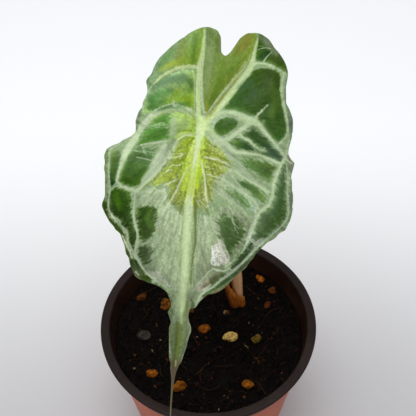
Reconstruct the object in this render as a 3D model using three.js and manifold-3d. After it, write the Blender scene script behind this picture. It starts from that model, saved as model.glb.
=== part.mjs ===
// Potted alocasia: a single arrow-shaped leaf on an upright petiole, rooted
// from a small corm in a thin-walled nursery pot filled with bark potting mix.
//
// Units are millimetres, +Z is up. The origin is the middle of the pot's base,
// on the pot's axis, and the leaf's drip tip points towards -Y (the front).

import * as THREE from 'three';
import { mergeVertices } from 'three/addons/utils/BufferGeometryUtils.js';
import Module from 'manifold-3d';

const wasm = await Module();
wasm.setup();

// ---------------------------------------------------------------- dimensions

// pot
const POT_HEIGHT = 95;
const POT_RIM_RADIUS = 55;         // outside of the rolled rim
const POT_SKIRT_RADIUS = 53.5;     // outside of the rim's lower edge
const POT_SKIRT_DROP = 6;          // height of the rolled rim
const POT_WALL = 1.2;
const POT_NECK_RADIUS = 50.8;      // outside of the wall just under the rim
const POT_FOOT_RADIUS = 38.8;      // outside of the wall at the foot
const POT_BASE_RECESS = 2;         // the ring with the drain holes stands this high
const POT_SEGMENTS = 48;
const DRAIN_HOLES = 6;
const DRAIN_HOLE_RADIUS = 3.6;
const DRAIN_HOLE_CIRCLE = 22;

// potting mix
const SOIL_LEVEL = 82;
const SOIL_BUMP = 1.1;
const GAP = 0.3;                   // clearance between touching pieces

// petiole, sheath and corm
const PETIOLE_BASE = [16.0, 20.6, 73.0];
const PETIOLE_BASE_RADIUS = 3.0;
const PETIOLE_TOP_RADIUS = 1.75;
const SHEATH_THICKNESS = 0.9;
const CORM_CENTRE = [16.4, 20.9, 63.6];
const CORM_RADII = [10.5, 10.0, 9.0];
const ROOT_RADIUS = 1.1;

// leaf blade: built on a flat frame, then given relief
const BLADE_ORIGIN = new THREE.Vector3(0.95, -18.894, 212.298);
const BLADE_X = new THREE.Vector3(0.99982, -0.01497, -0.01196);
const BLADE_Y = new THREE.Vector3(0.01916, 0.78119, 0.624);
const BLADE_NORMAL = new THREE.Vector3(0, -0.62411, 0.78134);
const BLADE_THICKNESS = 0.8;
const BLADE_RIB = 1.3;             // extra thickness under the midrib
const BLADE_DRAW_IN = 1 / 376;     // outline draws in by this share per mm of relief
const BLADE_EDGE = 5.2;            // longest triangle edge on the blade

// Outline of the blade in its own frame (x across, y towards the lobes),
// anticlockwise from the top of the left lobe down the left side to the tip.
const BLADE_OUTLINE = [
  [-1.0, 72.5], [-4.6, 71.8], [-7.0, 70.5], [-14.4, 65.1], [-19.1, 60.7], [-21.2, 57.5],
  [-22.5, 53.9], [-24.4, 51.7], [-24.8, 51.1], [-24.2, 48.3], [-24.5, 45.5], [-25.6, 43.9],
  [-26.4, 41.9], [-26.1, 40.7], [-27.6, 39.1], [-29.2, 34.7], [-28.9, 33.5], [-29.2, 31.9],
  [-28.9, 30.7], [-31.1, 28.5], [-33.5, 27.6], [-35.5, 26.1], [-38.3, 25.2], [-40.4, 23.8],
  [-41.7, 21.0], [-41.3, 18.2], [-41.7, 15.8], [-41.3, 14.2], [-41.3, 5.0], [-42.4, 2.2],
  [-42.5, 0.6], [-41.2, -2.6], [-39.6, -5.4], [-37.9, -7.3], [-37.1, -8.8], [-34.9, -10.6],
  [-34.4, -13.0], [-33.3, -15.4], [-33.2, -17.4], [-32.8, -18.6], [-31.7, -19.8],
  [-31.3, -21.8], [-31.5, -22.6], [-30.5, -23.9], [-29.5, -27.1], [-27.1, -28.8],
  [-25.8, -28.9], [-23.8, -30.0], [-22.6, -30.1], [-19.0, -31.7], [-16.2, -34.1],
  [-14.9, -37.5], [-14.9, -39.9], [-15.9, -41.5], [-16.0, -42.3], [-14.8, -45.5],
  [-15.6, -47.9], [-15.4, -52.7], [-15.6, -60.3], [-14.8, -62.7], [-15.2, -63.9],
  [-14.8, -65.1], [-14.8, -67.5], [-14.6, -70.5], [-14.9, -74.5], [-15.2, -79.0],
  [-15.4, -84.5], [-14.9, -85.6], [-14.3, -84.6], [-14.2, -79.0], [-13.9, -74.5],
  [-13.5, -70.0], [-12.9, -67.9], [-11.9, -63.5], [-10.5, -61.7], [-10.3, -60.3],
  [-9.3, -57.5], [-8.5, -55.5], [-8.3, -53.9], [-7.5, -51.1], [-6.8, -49.9], [-6.8, -47.5],
  [-7.5, -45.9], [-8.0, -43.5], [-7.4, -40.9], [-6.6, -40.2], [-5.0, -40.0], [-3.6, -37.9],
  [-0.6, -35.1], [0.2, -34.5], [1.8, -34.5], [3.4, -34.0], [6.4, -32.3], [13.0, -25.6],
  [15.6, -23.4], [16.6, -21.7], [18.4, -19.8], [19.0, -18.5], [21.9, -15.8], [23.4, -14.0],
  [24.6, -13.5], [25.8, -12.5], [26.6, -12.3], [28.5, -10.2], [30.9, -9.0], [33.2, -4.6],
  [34.1, -0.6], [33.7, 0.6], [34.1, 1.8], [34.1, 5.8], [33.7, 7.0], [33.7, 11.0],
  [33.3, 12.6], [34.7, 17.8], [32.9, 19.8], [32.1, 21.8], [32.5, 24.6], [33.7, 28.3],
  [33.7, 29.9], [34.1, 31.1], [34.1, 35.5], [32.4, 40.3], [31.3, 42.3], [31.5, 43.9],
  [31.3, 48.7], [32.1, 52.7], [32.1, 54.3], [31.2, 57.9], [29.6, 60.7], [26.7, 64.2],
  [24.8, 67.1], [22.2, 69.3], [20.2, 70.1], [15.8, 70.1], [13.8, 68.9], [12.2, 67.3],
  [9.2, 62.7], [7.4, 61.0], [6.6, 61.0], [5.3, 62.7], [5.2, 68.3], [3.9, 71.1], [1.0, 72.5],
];

// Midrib and the two lobe veins, in the blade's frame.
const MIDRIB = [
  [-15.0, -78.0], [-13.4, -66.0], [-12.2, -54.9], [-11.2, -42.9], [-10.4, -32.9],
  [-9.4, -20.8], [-8.2, -7.6], [-7.4, 3.2], [-6.0, 16.0], [-4.4, 26.0], [-2.8, 33.3],
];
const LOBE_VEINS = [
  [[-2.8, 33.3], [-4.2, 43.3], [-3.8, 51.3], [-2.0, 64.1], [-1.2, 70.9]],
  [[-2.8, 33.3], [2.4, 38.9], [8.4, 46.9], [14.4, 54.5], [17.6, 60.1], [20.0, 67.9]],
];
const JUNCTION = [-2.8, 33.3];     // where the petiole meets the blade

// Pieces of bark (rounded, reddish) and one lump of perlite on the surface:
// [name, x, y, height above the soil level, half sizes, turn in degrees]
const CHIPS = [
  ['perlite_01', 11.1, -1.7, 0.9, [4.2, 2.9, 2.4], 8],
  ['bark_chip_01', 24.5, -2.9, 0.8, [3.0, 2.2, 1.9], 30],
  ['bark_chip_02', 29.0, 34.5, 0.8, [3.2, 2.0, 1.8], -50],
  ['bark_chip_03', -2.3, 3.7, 0.9, [3.3, 2.6, 2.0], 15],
  ['bark_chip_04', -22.4, 19.7, 0.8, [4.0, 3.0, 2.2], 70],
  ['bark_chip_05', -29.0, -21.9, 0.8, [3.2, 2.4, 1.9], -20],
  ['bark_chip_06', -14.8, -29.2, 0.9, [4.4, 2.8, 2.2], 35],
  ['bark_chip_07', 19.3, -29.4, 0.8, [3.6, 2.5, 2.0], -35],
  ['bark_chip_08', 35.0, 27.0, 0.8, [2.8, 2.2, 1.8], 10],
  ['bark_chip_09', 31.5, 18.0, 0.7, [3.0, 1.9, 1.7], 60],
  ['bark_chip_10', -9.4, 15.8, 0.8, [2.9, 2.1, 1.7], -65],
  ['bark_chip_11', -35.5, 24.5, 0.7, [3.4, 2.2, 1.8], 25],
  ['bark_chip_12', -33.7, 0.4, 0.9, [3.8, 2.9, 2.1], -10],
];

// ------------------------------------------------------------------- helpers

const v3 = (p) => new THREE.Vector3(p[0], p[1], p[2]);
const smooth = (t) => { const s = Math.min(1, Math.max(0, t)); return s * s * (3 - 2 * s); };

// small repeatable noise
const hash = (i, j) => {
  const s = Math.sin(i * 127.1 + j * 311.7) * 43758.5453;
  return s - Math.floor(s);
};

// A closed geometry becomes a solid with merged vertices and outward faces.
function solidOf(geometry) {
  let g = geometry.clone();
  g.deleteAttribute('normal');
  g.deleteAttribute('uv');
  g = mergeVertices(g, 1e-4);
  const position = g.getAttribute('position');
  const index = g.getIndex().array;
  const triangles = [];
  let volume = 0;
  const a = new THREE.Vector3(), b = new THREE.Vector3(), c = new THREE.Vector3();
  for (let i = 0; i < index.length; i += 3) {
    const [p, q, r] = [index[i], index[i + 1], index[i + 2]];
    if (p === q || q === r || r === p) continue;
    a.fromBufferAttribute(position, p);
    b.fromBufferAttribute(position, q);
    c.fromBufferAttribute(position, r);
    volume += a.dot(b.cross(c)) / 6;
    triangles.push(p, q, r);
  }
  if (volume < 0) for (let i = 0; i < triangles.length; i += 3) {
    [triangles[i], triangles[i + 1]] = [triangles[i + 1], triangles[i]];
  }
  return new wasm.Manifold(new wasm.Mesh({
    numProp: 3,
    vertProperties: new Float32Array(position.array),
    triVerts: new Uint32Array(triangles),
  }));
}

function geometryOf(solid) {
  const mesh = solid.getMesh();
  const n = mesh.numProp;
  const count = mesh.vertProperties.length / n;
  const positions = new Float32Array(count * 3);
  for (let i = 0; i < count; i++) {
    for (let k = 0; k < 3; k++) positions[3 * i + k] = mesh.vertProperties[n * i + k];
  }
  const g = new THREE.BufferGeometry();
  g.setAttribute('position', new THREE.BufferAttribute(positions, 3));
  g.setIndex(new THREE.BufferAttribute(new Uint32Array(mesh.triVerts), 1));
  g.computeVertexNormals();
  return g;
}

function geometryFrom(positions, triangles) {
  const g = new THREE.BufferGeometry();
  g.setAttribute('position', new THREE.BufferAttribute(new Float32Array(positions.flat()), 3));
  g.setIndex(triangles.flat());
  return g;
}

const turned = (points, segments) => {
  const g = new THREE.LatheGeometry(points.map(([r, z]) => new THREE.Vector2(r, z)), segments);
  g.rotateX(Math.PI / 2);
  return g;
};

// A round tube along a curve whose radius runs from r0 to r1.
function taperedTube(curve, steps, sides, r0, r1) {
  const section = new THREE.Shape();
  for (let i = 0; i < sides; i++) {
    const t = (2 * Math.PI * i) / sides;
    if (i === 0) section.moveTo(Math.cos(t), Math.sin(t));
    else section.lineTo(Math.cos(t), Math.sin(t));
  }
  section.closePath();
  const g = new THREE.ExtrudeGeometry(section, { steps, extrudePath: curve, bevelEnabled: false });
  const stations = [];
  for (let i = 0; i <= steps; i++) stations.push(curve.getPointAt(i / steps));
  const position = g.getAttribute('position');
  const p = new THREE.Vector3();
  for (let i = 0; i < position.count; i++) {
    p.fromBufferAttribute(position, i);
    let best = 0, bestD = Infinity;
    stations.forEach((s, k) => {
      const d = Math.abs(s.distanceTo(p) - 1);
      if (d < 0.02 && s.distanceTo(p) < bestD) { bestD = s.distanceTo(p); best = k; }
    });
    const s = stations[best];
    const r = r0 + (r1 - r0) * (best / steps);
    p.sub(s).multiplyScalar(r).add(s);
    position.setXYZ(i, p.x, p.y, p.z);
  }
  return g;
}

function distanceToPath(x, y, path, closed = false) {
  let best = Infinity;
  const n = closed ? path.length : path.length - 1;
  for (let i = 0; i < n; i++) {
    const [ax, ay] = path[i];
    const [bx, by] = path[(i + 1) % path.length];
    const dx = bx - ax, dy = by - ay;
    const t = Math.min(1, Math.max(0, ((x - ax) * dx + (y - ay) * dy) / (dx * dx + dy * dy)));
    best = Math.min(best, Math.hypot(x - ax - t * dx, y - ay - t * dy));
  }
  return best;
}

// ----------------------------------------------------------------------- pot

const POT_NECK_Z = POT_HEIGHT - POT_SKIRT_DROP;
const potOuterRadius = (z) => POT_FOOT_RADIUS + ((POT_NECK_RADIUS - POT_FOOT_RADIUS) * z) / POT_NECK_Z;
const potInnerRadius = (z) => potOuterRadius(z) - POT_WALL;

function potSolid() {
  const rim = POT_HEIGHT;
  const profile = [
    [0, 0], [11.0, 0], [12.6, POT_BASE_RECESS], [29.4, POT_BASE_RECESS], [31.0, 0],
    [potOuterRadius(0) - 0.8, 0], [potOuterRadius(0.9), 0.9],
    [potOuterRadius(rim - 1.3), rim - 1.3], [POT_RIM_RADIUS - 1.5, rim - 1.3],
    [POT_SKIRT_RADIUS - 1.1, rim - POT_SKIRT_DROP], [POT_SKIRT_RADIUS, rim - POT_SKIRT_DROP],
    [POT_RIM_RADIUS, rim - 0.8], [POT_RIM_RADIUS - 0.7, rim],
    [potInnerRadius(rim) + 0.7, rim], [potInnerRadius(rim - 0.8), rim - 0.8],
    [potInnerRadius(2.0), 2.0], [potInnerRadius(1.2) - 0.7, 1.2], [32.0, 1.2],
    [30.3, POT_BASE_RECESS + 1.2], [11.7, POT_BASE_RECESS + 1.2], [10.1, 1.2], [0, 1.2],
  ];
  let pot = solidOf(turned(profile, POT_SEGMENTS));
  for (let i = 0; i < DRAIN_HOLES; i++) {
    const t = (2 * Math.PI * (i + 0.5)) / DRAIN_HOLES;
    const cutter = new THREE.CylinderGeometry(DRAIN_HOLE_RADIUS, DRAIN_HOLE_RADIUS, 8, 12);
    cutter.rotateX(Math.PI / 2);
    cutter.translate(DRAIN_HOLE_CIRCLE * Math.cos(t), DRAIN_HOLE_CIRCLE * Math.sin(t), 2.6);
    pot = pot.subtract(solidOf(cutter));
  }
  return pot;
}

// -------------------------------------------------------- petiole and sheath

const bladePoint = (x, y, n) => {
  const k = 1 - n * BLADE_DRAW_IN;
  return BLADE_ORIGIN.clone()
    .addScaledVector(BLADE_X, x * k)
    .addScaledVector(BLADE_Y, y * k)
    .addScaledVector(BLADE_NORMAL, n);
};

// Height of the blade's upper face over its flat frame.

function bladeRelief(x, y) {
  const edge = distanceToPath(x, y, BLADE_OUTLINE, true);
  const rib = Math.min(
    distanceToPath(x, y, MIDRIB), ...LOBE_VEINS.map((v) => distanceToPath(x, y, v)));
  let n = 0;
  if (y > 20) n -= 0.0030 * (y - 20) ** 2;                 // lobes lean back
  if (y < -8) n -= 0.0026 * (y + 8) ** 2;                  // tip hangs down
  n -= 2.0 * Math.exp(-((rib / 5.0) ** 2));                // sunken main veins
  n += 1.2 * smooth(rib / 16);                             // domed halves
  const body = smooth((y + 40) / 12);
  n -= 3.0 * body * (1 - smooth(edge / 8)) ** 2;           // margins curl back
  const around = Math.atan2(y - JUNCTION[1] + 30, x + 6);
  n += 1.3 * body * Math.sin(7 * around + 0.8) * (1 - smooth(edge / 18));
  return n;
}

const junctionFoot = bladePoint(JUNCTION[0], JUNCTION[1], bladeRelief(...JUNCTION) - 1.2);
const petioleCurve = new THREE.CatmullRomCurve3([
  v3(PETIOLE_BASE),
  new THREE.Vector3(15.9, 20.9, 84),
  new THREE.Vector3(14.9, 23.6, 108),
  new THREE.Vector3(12.1, 25.9, 140),
  new THREE.Vector3(8.2, 24.6, 175),
  new THREE.Vector3(3.8, 19.0, 207),
  new THREE.Vector3(0.6, 12.2, 223),
  junctionFoot,
]);

// The dry sheath is a split sleeve round the petiole's left and front, low on
// the right and drawn up to a point on the left.
const SHEATH_LEVELS = 9;
const SHEATH_COLUMNS = 12;
function sheathSurface(offset, lift = 0) {
  const rows = [];
  for (let i = 0; i <= SHEATH_LEVELS; i++) {
    const u = i / SHEATH_LEVELS;
    const row = [];
    for (let j = 0; j <= SHEATH_COLUMNS; j++) {
      const w = j / SHEATH_COLUMNS;
      const angle = THREE.MathUtils.degToRad(100 + 215 * w);   // left, then front, then right
      const peak = Math.exp(-(((w - 0.36) / 0.26) ** 2));
      const top = 91 + 26 * peak;
      const z = 76.5 + (top - 76.5) * u + lift * (u * 2 - 1);
      const flare = 4.4 + 2.6 * smooth((z - 80) / 30) * peak + 0.5 * Math.sin(5 * angle);
      const t = Math.min(1, Math.max(0, (z - 73) / 164));
      const c = petioleCurve.getPointAt(t);
      const r = flare + offset;
      row.push([c.x + r * Math.cos(angle) - 0.8 * peak * u, c.y + r * Math.sin(angle) - 0.8 * peak * u, z]);
    }
    rows.push(row);
  }
  return rows;
}
function shellOf(inner, outer) {
  const nu = inner.length, nv = inner[0].length;
  const positions = [...inner.flat(), ...outer.flat()];
  const id = (side, i, j) => side * nu * nv + i * nv + j;
  const quads = [];
  for (let i = 0; i < nu - 1; i++) for (let j = 0; j < nv - 1; j++) {
    quads.push([id(1, i, j), id(1, i, j + 1), id(1, i + 1, j + 1), id(1, i + 1, j)]);
    quads.push([id(0, i, j), id(0, i + 1, j), id(0, i + 1, j + 1), id(0, i, j + 1)]);
  }
  for (let j = 0; j < nv - 1; j++) {
    quads.push([id(0, 0, j), id(0, 0, j + 1), id(1, 0, j + 1), id(1, 0, j)]);
    quads.push([id(1, nu - 1, j), id(1, nu - 1, j + 1), id(0, nu - 1, j + 1), id(0, nu - 1, j)]);
  }
  for (let i = 0; i < nu - 1; i++) {
    quads.push([id(1, i, 0), id(1, i + 1, 0), id(0, i + 1, 0), id(0, i, 0)]);
    quads.push([id(0, i, nv - 1), id(0, i + 1, nv - 1), id(1, i + 1, nv - 1), id(1, i, nv - 1)]);
  }
  return geometryFrom(positions, quads.flatMap(([a, b, c, d]) => [[a, b, c], [a, c, d]]));
}

// ---------------------------------------------------------------- leaf blade

// Resample a closed outline so that no step is longer than `step`.
function evenOutline(outline, step) {
  const out = [];
  outline.forEach(([ax, ay], i) => {
    const [bx, by] = outline[(i + 1) % outline.length];
    const n = Math.max(1, Math.round(Math.hypot(bx - ax, by - ay) / step));
    for (let k = 0; k < n; k++) out.push([ax + ((bx - ax) * k) / n, ay + ((by - ay) * k) / n]);
  });
  return out;
}

// Triangulate the outline, then split long edges and swap diagonals until the
// triangles are small and well shaped.
function flatBladeMesh(outline, longest) {
  const points = outline.map((p) => [...p]);
  let triangles = THREE.ShapeUtils
    .triangulateShape(points.map(([x, y]) => new THREE.Vector2(x, y)), [])
    .map((t) => [...t]);
  const area = (a, b, c) => (points[b][0] - points[a][0]) * (points[c][1] - points[a][1])
    - (points[b][1] - points[a][1]) * (points[c][0] - points[a][0]);
  triangles = triangles.map(([a, b, c]) => (area(a, b, c) < 0 ? [a, c, b] : [a, b, c]));
  const edges = () => {
    const map = new Map();
    triangles.forEach((t, i) => {
      for (let k = 0; k < 3; k++) {
        const p = t[k], q = t[(k + 1) % 3];
        const key = p < q ? `${p}_${q}` : `${q}_${p}`;
        if (!map.has(key)) map.set(key, []);
        map.get(key).push(i);
      }
    });
    return map;
  };
  const far = (t, p, q) => t.find((v) => v !== p && v !== q);
  const angle = (at, p, q) => {
    const ux = points[p][0] - points[at][0], uy = points[p][1] - points[at][1];
    const vx = points[q][0] - points[at][0], vy = points[q][1] - points[at][1];
    return Math.atan2(Math.abs(ux * vy - uy * vx), ux * vx + uy * vy);
  };
  const swapAll = () => {
    for (let pass = 0; pass < 60; pass++) {
      let swapped = 0;
      const touched = new Set();
      for (const [key, owners] of edges()) {
        if (owners.length !== 2 || touched.has(owners[0]) || touched.has(owners[1])) continue;
        const [p, q] = key.split('_').map(Number);
        const c = far(triangles[owners[0]], p, q), d = far(triangles[owners[1]], p, q);
        if (angle(c, p, q) + angle(d, p, q) <= Math.PI + 1e-6) continue;
        const one = area(c, d, q), two = area(d, c, p);
        if (Math.abs(one) < 1e-3 || Math.abs(two) < 1e-3 || Math.sign(one) !== Math.sign(two)) continue;
        triangles[owners[0]] = one > 0 ? [c, d, q] : [c, q, d];
        triangles[owners[1]] = two > 0 ? [d, c, p] : [d, p, c];
        touched.add(owners[0]); touched.add(owners[1]);
        swapped++;
      }
      if (!swapped) break;
    }
  };
  swapAll();
  for (let round = 0; round < 30; round++) {
    const length = (key) => {
      const [p, q] = key.split('_').map(Number);
      return Math.hypot(points[p][0] - points[q][0], points[p][1] - points[q][1]);
    };
    const long = [...edges()].filter(([key, owners]) => owners.length === 2 && length(key) > longest)
      .sort((a, b) => length(b[0]) - length(a[0]));
    if (!long.length) break;
    const touched = new Set();
    for (const [key, owners] of long) {
      if (touched.has(owners[0]) || touched.has(owners[1])) continue;
      const [p, q] = key.split('_').map(Number);
      const m = points.length;
      points.push([(points[p][0] + points[q][0]) / 2, (points[p][1] + points[q][1]) / 2]);
      for (const i of owners) {
        const t = triangles[i];
        touched.add(i);
        triangles[i] = t.map((v) => (v === q ? m : v));
        triangles.push(t.map((v) => (v === p ? m : v)));
        touched.add(triangles.length - 1);
      }
    }
    swapAll();
    for (let pass = 0; pass < 2; pass++) {
      const near = points.map(() => new Set());
      triangles.forEach(([a, b, c]) => {
        near[a].add(b).add(c); near[b].add(a).add(c); near[c].add(a).add(b);
      });
      for (let i = outline.length; i < points.length; i++) {
        const old = points[i];
        let sx = 0, sy = 0;
        near[i].forEach((k) => { sx += points[k][0]; sy += points[k][1]; });
        points[i] = [sx / near[i].size, sy / near[i].size];
        const flipped = triangles.some((t) => t.includes(i) && area(...t) < 1e-3);
        if (flipped) points[i] = old;
      }
      swapAll();
    }
  }
  return { points, triangles };
}

const bladeMesh = flatBladeMesh(evenOutline(BLADE_OUTLINE, 4.5), BLADE_EDGE);

// A closed sheet between two offsets from the blade's upper face.
function bladeSheet(above, below) {
  const { points, triangles } = bladeMesh;
  const n = points.length;
  const rims = new Map();
  triangles.forEach((t) => {
    for (let k = 0; k < 3; k++) rims.set(`${t[k]}_${t[(k + 1) % 3]}`, [t[k], t[(k + 1) % 3]]);
  });
  const positions = [];
  for (const side of [0, 1]) points.forEach(([x, y]) => {
    const relief = bladeRelief(x, y);
    const rib = distanceToPath(x, y, MIDRIB);
    const under = BLADE_THICKNESS + BLADE_RIB * Math.exp(-((rib / 3.4) ** 2)) * smooth((y + 60) / 60);
    positions.push(bladePoint(x, y, side ? relief - under - below : relief + above).toArray());
  });
  const faces = [];
  triangles.forEach(([a, b, c]) => faces.push([a, b, c], [a + n, c + n, b + n]));
  for (const [key, [p, q]] of rims) {
    if (rims.has(`${q}_${p}`)) continue;
    faces.push([q, p, p + n], [q, p + n, q + n]);
  }
  return geometryFrom(positions, faces);
}

// -------------------------------------------------------------- corm, roots

function cormSolid(grow = 0) {
  const ball = new THREE.IcosahedronGeometry(1, 2);
  const position = ball.getAttribute('position');
  for (let i = 0; i < position.count; i++) {
    const [x, y, z] = [position.getX(i), position.getY(i), position.getZ(i)];
    const ridge = 1 + 0.05 * Math.sin(9 * z) + 0.03 * Math.sin(4 * Math.atan2(y, x));
    position.setXYZ(i,
      CORM_CENTRE[0] + x * (CORM_RADII[0] * ridge + grow),
      CORM_CENTRE[1] + y * (CORM_RADII[1] * ridge + grow),
      CORM_CENTRE[2] + z * (CORM_RADII[2] * ridge + grow));
  }
  let corm = solidOf(ball);
  const roots = [
    [200, 26, 40, 8], [255, 20, 34, -6], [310, 16, 26, 5], [20, 11, 30, -5], [130, 13, 44, 6], [170, 30, 22, -8],
  ];
  for (const [turn, reach, depth, sway] of roots) {
    const t = THREE.MathUtils.degToRad(turn);
    const at = (r, z, s) => new THREE.Vector3(
      CORM_CENTRE[0] + r * Math.cos(t) - s * Math.sin(t),
      CORM_CENTRE[1] + r * Math.sin(t) + s * Math.cos(t), CORM_CENTRE[2] + z);
    const curve = new THREE.CatmullRomCurve3([
      at(3, -3, 0), at(7 + reach * 0.25, -8, sway * 0.2),
      at(7 + reach * 0.55, -depth * 0.45, sway * 0.7), at(7 + reach * 0.7, -depth * 0.75, sway * 0.4),
      at(7 + reach * 0.62, -depth - grow * 0.5, sway),
    ]);
    corm = corm.add(solidOf(taperedTube(curve, 9, 6, ROOT_RADIUS + 0.2 + grow, ROOT_RADIUS - 0.35 + grow)));
  }
  return corm;
}

// ------------------------------------------------------------- surface chips

function chipSolid([, x, y, rise, half, turn], grow = 0) {
  const g = new THREE.DodecahedronGeometry(1, 0);
  const position = g.getAttribute('position');
  const t = THREE.MathUtils.degToRad(turn);
  for (let i = 0; i < position.count; i++) {
    const [px, py, pz] = [position.getX(i), position.getY(i), position.getZ(i)];
    const lump = 0.86 + 0.28 * hash(Math.round(px * 9) + x, Math.round(py * 9) + Math.round(pz * 9) * 3 + y);
    const sx = px * (half[0] * lump + grow);
    const sy = py * (half[1] * lump + grow);
    const sz = pz * (half[2] * lump + grow);
    position.setXYZ(i,
      x + sx * Math.cos(t) - sy * Math.sin(t),
      y + sx * Math.sin(t) + sy * Math.cos(t), SOIL_LEVEL + rise + sz);
  }
  return solidOf(g).hull();
}

// ---------------------------------------------------------------------- soil

function soilSolid() {
  const inside = (z) => potInnerRadius(z) - GAP;
  const top = SOIL_LEVEL;
  const profile = [
    [0, 1.5], [10.0, 1.5], [11.6, POT_BASE_RECESS + 1.5], [30.4, POT_BASE_RECESS + 1.5], [32.1, 1.5],
    [inside(1.5) - 1.0, 1.5], [inside(2.4), 2.4], [inside(top - 2.5), top - 2.5],
    [inside(top), top], [44, top], [38, top], [32, top], [26, top], [20, top], [14, top], [8, top], [3, top], [0, top],
  ];
  const g = turned(profile, POT_SEGMENTS);
  const position = g.getAttribute('position');
  for (let i = 0; i < position.count; i++) {
    const [x, y, z] = [position.getX(i), position.getY(i), position.getZ(i)];
    if (z < top - 0.1) continue;
    const r = Math.hypot(x, y);
    const bump = Math.sin(x * 0.31 + 1.3) * Math.cos(y * 0.27 - 0.4) + 0.7 * Math.sin(x * 0.13 - y * 0.19)
      + 0.9 * (hash(Math.round(x * 2), Math.round(y * 2)) - 0.5);
    position.setZ(i, z + SOIL_BUMP * bump * (r > 48 ? 0.4 : 1) * (r < 0.1 ? 0.3 : 1));
  }
  return solidOf(g);
}

// ---------------------------------------------------------------- assemble

const blade = solidOf(bladeSheet(0, 0));
const petioleTube = solidOf(taperedTube(petioleCurve, 30, 14, PETIOLE_BASE_RADIUS, PETIOLE_TOP_RADIUS));
const petioleRoom = solidOf(taperedTube(petioleCurve, 30, 14, PETIOLE_BASE_RADIUS + 0.35, PETIOLE_TOP_RADIUS + 0.35));
const corm = cormSolid();
const cormRoom = cormSolid(0.4);
const petiole = petioleTube.subtract(solidOf(bladeSheet(4, 0.35))).subtract(cormSolid(0.35));
const sheath = solidOf(shellOf(sheathSurface(0), sheathSurface(SHEATH_THICKNESS)));
const sheathRoom = solidOf(shellOf(sheathSurface(-0.35, 0.35), sheathSurface(SHEATH_THICKNESS + 0.35, 0.35)));

let soil = soilSolid().subtract(cormRoom).subtract(petioleRoom).subtract(sheathRoom);
for (const chip of CHIPS) soil = soil.subtract(chipSolid(chip, 0.4));
soil = soil.decompose().sort((a, b) => b.volume() - a.volume())[0];

const plant = new THREE.Group();
const group = new THREE.Group();

function piece(parent, name, solid, color, roughness, metalness = 0) {
  const material = new THREE.MeshStandardMaterial({ color, roughness, metalness });
  const mesh = new THREE.Mesh(geometryOf(solid), material);
  mesh.name = name;
  parent.add(mesh);
  return mesh;
}

piece(group, 'nursery_pot', potSolid(), 0x8a4a36, 0.55);
piece(group, 'potting_soil', soil, 0x120b07, 0.95);
piece(plant, 'corm_with_roots', corm, 0x6b4a30, 0.8);
piece(plant, 'petiole', petiole, 0xd2a888, 0.45);
piece(plant, 'basal_sheath', sheath, 0x8a4c16, 0.7);
piece(plant, 'leaf_blade', blade, 0x9fbf86, 0.42);
group.add(plant);
for (const chip of CHIPS) {
  const white = chip[0].startsWith('perlite');
  piece(group, chip[0], chipSolid(chip), white ? 0xcbb07c : 0x6e3c1c, white ? 0.9 : 0.85);
}

export default group;
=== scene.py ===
"""Potted alocasia: the looks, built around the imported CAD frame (metres, +Z up)."""
import bpy
import math
import numpy as np
from mathutils import Vector, Matrix
from mathutils import geometry as mgeo


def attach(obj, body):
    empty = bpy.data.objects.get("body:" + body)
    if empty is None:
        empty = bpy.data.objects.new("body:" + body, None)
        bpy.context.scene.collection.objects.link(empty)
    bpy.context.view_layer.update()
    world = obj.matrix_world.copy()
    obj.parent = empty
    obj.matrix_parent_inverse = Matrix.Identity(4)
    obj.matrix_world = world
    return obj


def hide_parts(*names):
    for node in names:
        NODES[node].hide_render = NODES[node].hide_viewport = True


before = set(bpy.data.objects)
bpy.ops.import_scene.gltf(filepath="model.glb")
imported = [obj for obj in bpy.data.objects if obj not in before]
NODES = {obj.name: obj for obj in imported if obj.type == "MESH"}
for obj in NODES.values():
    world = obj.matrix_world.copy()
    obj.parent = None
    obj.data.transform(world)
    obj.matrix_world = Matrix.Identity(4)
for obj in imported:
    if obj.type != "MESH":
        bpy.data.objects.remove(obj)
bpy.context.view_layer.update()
MM = 0.001

# ---------------------------------------------------------------- sizes (mm)
POT_H, POT_RIM, POT_SKIRT, POT_DROP, POT_WALL = 95.0, 55.0, 53.5, 6.0, 1.2
POT_NECK, POT_FOOT, POT_RECESS = 50.8, 38.8, 2.0
SOIL = 82.0

BLADE_O = np.array([0.95, -18.894, 212.298])
BLADE_X = np.array([0.99982, -0.01497, -0.01196])
BLADE_Y = np.array([0.01916, 0.78119, 0.62400])
BLADE_N = np.array([0.0, -0.62411, 0.78134])
DRAW_IN = 1 / 376

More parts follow.
